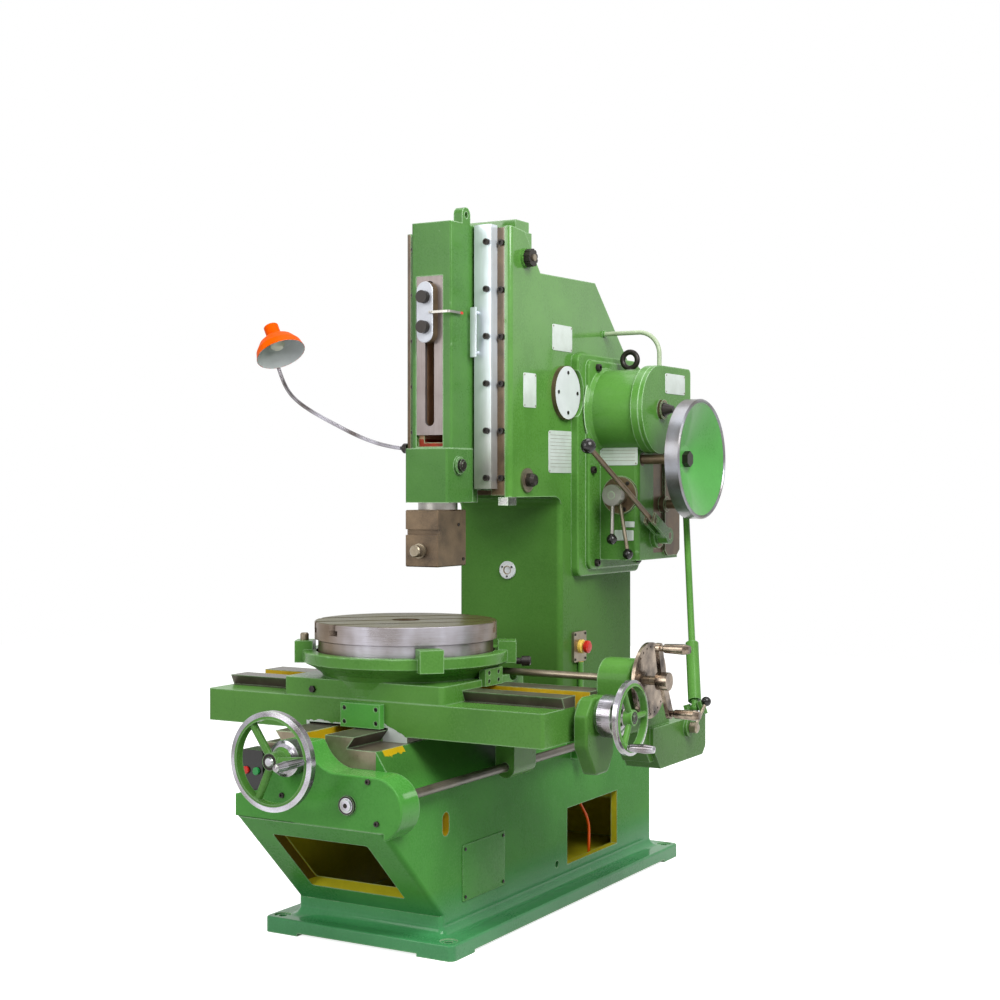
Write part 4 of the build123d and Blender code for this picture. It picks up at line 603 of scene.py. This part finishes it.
def behindSlope(depth):  # more than a depth behind the bed's sloping front face
    (y, z), (inwardY, inwardZ) = bedMarks["slopeFoot"], bedMarks["slopeInward"]
    return lambda paint: (paint.z - z / 1000) * inwardZ + (paint.y - y / 1000) * inwardY > depth / 1000


def shoulderScuff(paint):  # a ragged yellow streak on the right shoulder, just under the ways
    ragged = (paint.noise(bedMarks["scuffScale"], bedMarks["noiseDetail"]) - 0.5) * (bedMarks["scuffRagged"] / 1000)
    return paint.inside(*bedMarks["scuff"]) * (paint.z + ragged > bedMarks["scuffFrom"] / 1000)


# scoured metal with a painted reflection, paler at the shelf's front
def scouredShelfAndSheen(paint):  # paler iron at the front of the shelf beside the way, fading towards the back
    ragged = (paint.noise(bedMarks["shelfScale"], bedMarks["noiseDetail"]) - 0.5) * bedMarks["shelfRagged"]
    fade = ((bedMarks["shelfFrom"] / 1000 - paint.y) * bedMarks["shelfRate"] + ragged).clamp()
    return fade * paint.inside(*bedMarks["shelf"])


finishNode("bed", "bedGreen", [
    ("baseGreen", byHeight(start=170, rate=-10)),
    # the shoulder under the cross slide is darker: painted shadow of the cross slide
    ("oilyGreen", allOf(byHeight(start=400, rate=12, share=0.8), boxes(bedMarks, "shoulder"))),
    ("oiledIron", boxes(bedMarks, "ways")),
    ("wornSteel", anyOf(boxes(bedMarks, "wayFronts"), scouredShelfAndSheen)),
    # the walls of the front opening and of the window are dark olive: painted shade
    ("olivePrimer", anyOf(allOf(boxes(bedMarks, "hollow"), behindSlope(bedMarks["paint"])),
                          boxes(bedMarks, "window"))),
    ("cavityYellow", anyOf(allOf(boxes(bedMarks, "deep"), behindSlope(bedMarks["wall"])),
                           allOf(boxes(bedMarks, "frontSill"), behindSlope(bedMarks["paint"])),
                           boxes(bedMarks, "windowSill", "windowEnd"))),
    ("yellowPaint", anyOf(boxes(bedMarks, "trough", "sideSlot"), shoulderScuff))],
    coat=byHeight(start=130, rate=-12, share=0.45, least=0.02), gloss=0.03, wearAndHighlight=1.3, grimeAndShade=0.25)
finishNode(["saddle_front_plate", "sidePanel"], "bedGreen", coat=0.04, gloss=0.06, wearAndHighlight=0.8, grimeAndShade=0.25)

# gear cover on the bed's front: its face, and the radii of the key's socket, cap and collar
coverMarks = dict(face=-910.5, socket=6, cap=19, collar=27)
coverFace = along("y", high=coverMarks["face"])
finishNode("front_gear_cover", "bedGreen", [
    ("blackened", allOf(coverFace, tube(*axes["coverKey"], coverMarks["cap"], coverMarks["collar"]))),
    ("chrome", allOf(coverFace, disc(*axes["coverKey"], coverMarks["cap"]))),
    ("blackened", disc(*axes["coverKey"], coverMarks["socket"]))], coat=0.04, gloss=0.1, wearAndHighlight=0.7, grimeAndShade=0.5)

# column and head; more lacquer shows towards the top, where no oil or dirt dulls it
upperShine = byHeight(start=1250, rate=2.2)
columnMarks = dict(guide=((None, None, 1176), (-160, -186, None)), ledge=((145, -207, 1150), (179, -157, 1175.5)))
headMarks = dict(guides=((None, None, None), (None, -100, 1944)))
finishNode("column", "greenEnamel", [
    ("brownSteel", boxes(columnMarks, "guide")), ("bright", boxes(columnMarks, "ledge"))],
    coat=upperShine, gloss=0.06, wearAndHighlight=1.0, grimeAndShade=1.2, grimeAndShadeTop=1.15)
finishNode("guide_head", "greenEnamel", [("brownSteel", boxes(headMarks, "guides"))],
           coat=upperShine, gloss=0.14, wearAndHighlight=0.6)

# gearbox: the selector's disc and hub, a bare flat on its right side and a patch of painted shade behind the wheel,
# and the ring in its end cover
gearMarks = dict(disc=(288, 299.8), discRadius=60, hubFace=289, hubRadius=12.6, ring=(0, 31),
                 rearFlat=((345.3, 476, None), (None, None, 1387)), wheelShadeFlat=((344.6, 410, 1000), (None, 480, 1311)))
boxPaint = dict(coat=0.15, gloss=0.14, wearAndHighlight=1.3)
finishNode("gearbox_housing", "greenEnamel", [
    ("brownSteel", anyOf(allOf(along("y", *gearMarks["disc"]), disc(*axes["selector"], gearMarks["discRadius"])),
                         boxes(gearMarks, "rearFlat", "wheelShadeFlat"))),
    ("steel", allOf(along("y", high=gearMarks["hubFace"]), disc(*axes["selectorHub"], gearMarks["hubRadius"])))],
    **boxPaint)
finishNode("gearbox_end_cover", "greenEnamel", [("brownSteel", tube(*axes["endCover"], *gearMarks["ring"]))],
           **boxPaint)

# saddle: boxes, then the face round its groove with the ends and upper edge of each scraped lip, which carries a
# painted highlight
saddleMarks = dict(
    way=((None, -582, 643.6), (None, -338, None)), groove=((-192, -677, None), (147, None, 577)),
    trough=((None, -508, 589), (None, -422, 671)), face=-677.2, ragged=22, noiseScale=45.0,
    leftLip=dict(ends=(-176, -50), top=580), rightLip=dict(ends=(70, 146), top=588, start=75, fall=0.5))
slidePaint = dict(coat=0.05, gloss=0.14, grimeAndShade=0.6)


def grooveLip(paint):  # scraped metal with a painted highlight round the groove on the saddle's front, with a ragged upper edge
    leftLip, rightLip = saddleMarks["leftLip"], saddleMarks["rightLip"]
    height = paint.z + (paint.noise(saddleMarks["noiseScale"]) - 0.5) * (saddleMarks["ragged"] / 1000)
    sloped = height + (paint.x - rightLip["start"] / 1000) * rightLip["fall"]
    onLeft = (height < leftLip["top"] / 1000) * along("x", *leftLip["ends"])(paint)
    onRight = (sloped < rightLip["top"] / 1000) * along("x", *rightLip["ends"])(paint)
    return onLeft.most(onRight) * (paint.y < saddleMarks["face"] / 1000)


finishNode("saddle", "greenEnamel", [
    ("oiledIron", boxes(saddleMarks, "way", "groove")), ("yellowPaint", boxes(saddleMarks, "trough")),
    ("plateSilver", grooveLip)], wearAndHighlight=1.0, **slidePaint)
finishNode("cross_slide", "greenEnamel", [("iron", allOf(along("z", 743, 746), disc(*axes["table"], 246)))],
           wearAndHighlight=0.9, **slidePaint)
finishNode(["cross_bracket", "feed_box"], "greenEnamel", coat=0.06, gloss=0.06, wearAndHighlight=1.0, grimeAndShade=1.5)

# ram: its guided back, its foot, the side face of its screw boss, and its slot with the slot's lower end
ramMarks = dict(back=-190, foot=((-72, None, None), (72, None, 1161)), boss=78.2,
                slot=((-50, -329, 1340), (43, -200, 1800)), slotEnd=((-50, -329, 1318), (43, -200, 1340)))
# the ram's slot is pale brown: brown paint with painted light in the deep slot
finishNode("ram", "ramGreen", [
    ("steel", anyOf(along("y", low=ramMarks["back"]), boxes(ramMarks, "foot"))),
    ("blackened", along("x", low=ramMarks["boss"])), ("brownPaint", boxes(ramMarks, "slot")),
    ("rust", boxes(ramMarks, "slotEnd"))], coat=0.05, gloss=0.14, wearAndHighlight=1.3)

# rotary table: its top, and the way (x, y) towards which its side stays bright, darker elsewhere with an oil film and
# painted shade
tableMarks = dict(top=839, brightWay=(0.643, -0.766), filmAndShadeFrom=0.85, filmAndShadeRate=2.6, filmAndShadeShare=0.85, middle=0.01)


def filmAndShadeAway(paint):  # an oil film and painted shade: darker away from the side turned to the front right, which stays bright
    a, b = paint.offsets(*axes["table"])
    ahead = (a * tableMarks["brightWay"][0] + b * tableMarks["brightWay"][1]) \
        / paint.radius(*axes["table"]).most(tableMarks["middle"])
    return ((tableMarks["filmAndShadeFrom"] - ahead) * tableMarks["filmAndShadeRate"]).clamp() * tableMarks["filmAndShadeShare"]


finishNode("rotary_table", "tableSide", [
    ("oilFilm", filmAndShadeAway), ("tableTop", along("z", low=tableMarks["top"]))], gloss=0.03)

# tilt clamps: outer face of the flanges, the lower clamps' top and the upper ones' foot, and a bare stud end
clampMarks = dict(flange=185.3, lowerTop=1300, upperFoot=1700, studFace=205.2, stud=15)
finishNode("tilt_clamps", "blackened", [
    ("wornSteel", zone((None, None, None), (clampMarks["flange"], None, clampMarks["lowerTop"]))),
    ("greenEnamel", zone((None, None, clampMarks["upperFoot"]), (clampMarks["flange"], None, None))),
    ("wornSteel", allOf(zone((clampMarks["studFace"], None, clampMarks["upperFoot"]), (None, None, None)),
                        disc(*axes["upperClamp"], clampMarks["stud"])))])

# other machined and turned pieces, cut into lengths along an axis or rings about it
clampSkin = 2.4
screwThread = dict(pitch=8, depth=0.9)
finishNode(["keeper_plates", "strokeScale"], "keeperSteel", [
    ("wornSteel", byHeight(start=1600, rate=-2.6, share=0.65))])
finishNode("clamp_plate", "brownSteel", [("clampSteel", along("y", high=clampFace + clampSkin))])
finishNode("tool_head", "brownSteel", [("steel", along("z", low=1141))])
finishNode("lock_screws", "wornSteel", [("blackened", along("x", low=100))])
finishNode("longitudinal_screw", "steel", relief=thread(*axes["frontWheel"], **screwThread))
finishNode("cross_screw", "steel", relief=thread(*axes["crossWheel"], **screwThread))
# the shaft is brown beside the gearbox and black inside the wheel's dish: painted shade behind the wheel
finishNode("pinion_shaft", "steel", [("brownSteel", along("x", 340, 462)), ("blackened", along("x", low=462))])
finishNode("bull_gear", "steel", [("blackened", along("x", low=384))])
finishNode("pivot_pins", "whiteEnamel", [
    ("brownSteel", tube(*axes["pivot"], 79.5, 90)), ("steel", along("x", -177, 177))])
finishNode("oil_sight", "whiteEnamel", [("wornSteel", tube(*axes["sight"], 10.5, 14))])
finishNode("strokePointer", "steel", [("redPlastic", along("y", low=-298))])

# lamp: the gooseneck's foot and coils, and the shade's crown with the way it opens
lamp = dict(foot=(-178, -175, 1318), footRadius=26, pitch=6, depth=0.5, crown=(-637, -190, 1613),
            opens=(0.506, -0.17, -0.846))
finishNode("lamp_arm", "chrome", [("blackened", ball(lamp["foot"], lamp["footRadius"]))],
           relief=coils(lamp["foot"], lamp["pitch"], lamp["depth"]))
finishNode("lamp_shade", "orangeEnamel", [("whiteEnamel", inward(lamp["crown"], lamp["opens"]))], gloss=0.03)

# two label plates are ruled with plain lines
ruled = dict(side=((None, 44, 1256), (180, 184, 1362)), front=((222, 298, 1280), (336, 299, 1326)), perMetre=95,
             share=0.1)
finishNode("labelPlates", "plateSilver", [
    ("wornSteel", allOf(boxes(ruled, "side", "front"),
                        lambda paint: (paint.z * ruled["perMetre"]).calc("FRACT", 0.0) < ruled["share"]))])

# handwheels: radii of the rim, hub and dial, and where the grip, the dial and the dial's lines start or end
frontWheel = dict(rim=(112, 140), dialFrom=-965, hub=21, linesFrom=-935, lines=(45, 60), count=60, gripTo=-1014)
crossWheel = dict(rim=(88, 110), gripFrom=697, dialTo=673, hub=16, linesTo=627, lines=(54, 60), count=60)
barringWheel = dict(dishFrom=468, dish=169, rim=(169, 190), backTo=462, back=(160, 190))
wheelPaint = dict(coat=0.05, gloss=0.14)
axis = axes["frontWheel"]
finishNode("front_handwheel", "greenEnamel", [
    ("chrome", tube(*axis, *frontWheel["rim"])), ("chrome", along("y", low=frontWheel["dialFrom"])),
    ("blackened", anyOf(disc(*axis, frontWheel["hub"]),
                        allOf(along("y", low=frontWheel["linesFrom"]), tube(*axis, *frontWheel["lines"]),
                              ticks(*axis, frontWheel["count"])))),
    ("chrome", along("y", high=frontWheel["gripTo"]))], wearAndHighlight=0.5, **wheelPaint)
axis = axes["crossWheel"]
finishNode("cross_handwheel", "greenEnamel", [
    ("chrome", anyOf(tube(*axis, *crossWheel["rim"]), along("x", low=crossWheel["gripFrom"]))),
    ("chrome", along("x", high=crossWheel["dialTo"])),
    ("blackened", anyOf(disc(*axis, crossWheel["hub"]),
                        allOf(along("x", high=crossWheel["linesTo"]), tube(*axis, *crossWheel["lines"]),
                              ticks(*axis, crossWheel["count"]))))], wearAndHighlight=0.5, **wheelPaint)
axis = axes["barring"]
finishNode("barring_wheel", "greenEnamel", [
    ("dishGreen", allOf(along("x", low=barringWheel["dishFrom"]), disc(*axis, barringWheel["dish"]))),
    ("wheelRim", tube(*axis, *barringWheel["rim"])),
    ("brownSteel", allOf(along("x", high=barringWheel["backTo"]), tube(*axis, *barringWheel["back"])))],
    coat=0.3, gloss=0.2)

# feed shaft and levers, with the middle and radius of each knob
finishNode(["feed_rod", "feed_sleeve"], "greenEnamel", wearAndHighlight=0.4, **wheelPaint)
finishNode("feed_lever", "wornSteel", [("blackPlastic", ball((676, 44, 602), 16))])
finishNode("gear_lever_front", "steel", [("blackPlastic", ball((292, 226, 1046), 18))])
finishNode("gear_lever_rear", "wornSteel", [("blackPlastic", ball((324, 272, 1000), 18))])
finishNode("clutch_lever", "brownSteel", [
    ("blackPlastic", ball((380, -104, 1320), 24)), ("greenEnamel", along("y", low=318))], wearAndHighlight=1.0)
finishNode("stop_box", "wornSteel", [
    ("yellowPlastic", along("x", low=187.2)), ("greenEnamel", along("z", high=671.5))])

# pieces of one finish
plain = [
    ("blackened", ["clamp_bolts", "keeper_bolts", "eye_bolt", *screwSets, "panelScrews"]),
    ("wornSteel", ["tool_screw", "worm_shaft"]), ("wornSteel", ["labelRivets"]), ("oiledIron", ["spline_shaft"]),
    ("steel", ["worm", "rocker_pin", "motor_rotor"]), ("iron", ["rocker_arm", "driven_pulley"]),
    ("brownSteel", ["clamp_block"]), ("slidePlate", ["ram_face_plate"]), ("bronze", ["worm_wheel"]),
    ("agedChrome", ["index_plate", "index_crank"]), ("greenEnamel", ["motor"]), ("paleGreen", ["oil_hose"]),
    ("orangeEnamel", ["oilPipe"]), ("rubber", ["drive_belts"]), ("lampGlass", ["lamp_bulb"]),
    ("blackPlastic", ["button_station"]), ("redPlastic", ["stop_mushroom", "stop_button"]),
    ("greenPlastic", ["start_button"])]
for base, names in plain:
    finishNode(names, base)
print("finishes laid,", len(finishes), "kinds")

# studio: pale floor, white surroundings and soft lamps
studio = dict(floorSize=14.0, floorColour=(0.9, 0.9, 0.9), floorBounce=(0.42, 0.42, 0.42), floorGlow=0.8,
              world=0.4, shownWorld=1.0,
              lamps=[dict(name="keyLamp", at=(2.2, -1.2, 3.0), to=(0.1, 0.0, 1.5), size=1.8, power=112),
                     dict(name="fillLamp", at=(-1.5, -5.0, 2.8), to=(0, -0.3, 0.9), size=3.0, power=120),
                     dict(name="topLamp", at=(-0.5, 0.5, 5.0), to=(0, 0, 1), size=3.0, power=75)])
shownRays = ("Is Camera Ray", "Is Glossy Ray", "Is Transmission Ray")


# turn a lamp so that its -Z looks from one point to another
def aim(thing, start, target):
    ahead = np.subtract(target, start)
    flat = math.hypot(ahead[0], ahead[1])
    thing.location = start
    thing.rotation_euler = (math.pi / 2 + math.atan2(ahead[2], flat), 0, math.atan2(-ahead[0], ahead[1]))


# floor: it glows for the eye and for reflections, and throws less light back on the machine
def setFloor(s):
    reach = s["floorSize"] / 2
    corners = [(-reach, -reach, 0), (reach, -reach, 0), (reach, reach, 0), (-reach, reach, 0)]
    mesh = bpy.data.meshes.new("floor")
    mesh.from_pydata(corners, [], [(0, 1, 2, 3)])
    floor = bpy.data.objects.new("floor", mesh)
    bpy.context.scene.collection.objects.link(floor)
    paint = Paint("floorFinish")
    path = paint.add("ShaderNodeLightPath").socket.node
    camera, glossy, through = (Flow(paint, path.outputs[ray]) for ray in shownRays)
    matt = paint.add("ShaderNodeBsdfDiffuse", sockets={0: (*s["floorBounce"], 1.0)})
    pale = paint.add("ShaderNodeBsdfDiffuse", sockets={0: (*s["floorColour"], 1.0)})
    glow = paint.add("ShaderNodeEmission", sockets={0: (1, 1, 1, 1), 1: s["floorGlow"]})
    both = paint.add("ShaderNodeAddShader", sockets={0: pale, 1: glow})
    mixed = paint.add("ShaderNodeMixShader", sockets={0: camera.most(glossy).most(through), 1: matt, 2: both})
    paint.add("ShaderNodeOutputMaterial", sockets={0: mixed})
    mesh.materials.append(paint.material)


# surroundings: white for the eye and for reflections, weaker as a light
def setWorld(s):
    world = bpy.data.worlds.new("studioWorld")
    world.use_nodes = True
    bpy.context.scene.world = world
    tree = world.node_tree
    tree.nodes.clear()
    path = tree.nodes.new("ShaderNodeLightPath")
    seen = path.outputs[shownRays[0]]
    for ray in shownRays[1:]:
        either = tree.nodes.new("ShaderNodeMath")
        either.operation = "MAXIMUM"
        tree.links.new(seen, either.inputs[0])
        tree.links.new(path.outputs[ray], either.inputs[1])
        seen = either.outputs[0]
    level = tree.nodes.new("ShaderNodeMix")
    level.inputs[2].default_value = s["world"]
    level.inputs[3].default_value = s["shownWorld"]
    tree.links.new(seen, level.inputs[0])
    sky = tree.nodes.new("ShaderNodeBackground")
    sky.inputs["Color"].default_value = (1, 1, 1, 1)
    tree.links.new(level.outputs[0], sky.inputs["Strength"])
    out = tree.nodes.new("ShaderNodeOutputWorld")
    tree.links.new(sky.outputs[0], out.inputs[0])


setFloor(studio)
setWorld(studio)
for lampSet in studio["lamps"]:
    light = bpy.data.lights.new(lampSet["name"], "AREA")
    light.shape = "SQUARE"
    light.size = lampSet["size"]
    light.energy = lampSet["power"]
    thing = bpy.data.objects.new(lampSet["name"], light)
    bpy.context.scene.collection.objects.link(thing)
    aim(thing, lampSet["at"], lampSet["to"])

# camera: level, 30 degrees to the machine's right of straight ahead
view = dict(at=(2.50107, -4.27493, 1.21), lens=59.652, sensor=36.0, turn=math.radians(30), shift=-0.015)
lens = bpy.data.cameras.new("photoCamera")
lens.sensor_fit = "HORIZONTAL"
lens.sensor_width = view["sensor"]
lens.lens = view["lens"]
lens.shift_y = view["shift"]
camera = bpy.data.objects.new("photoCamera", lens)
camera.location = view["at"]
camera.rotation_euler = (math.pi / 2, 0, view["turn"])
bpy.context.scene.collection.objects.link(camera)
bpy.context.scene.camera = camera
bpy.context.scene.view_settings.view_transform = "Standard"
print("studio and camera set")
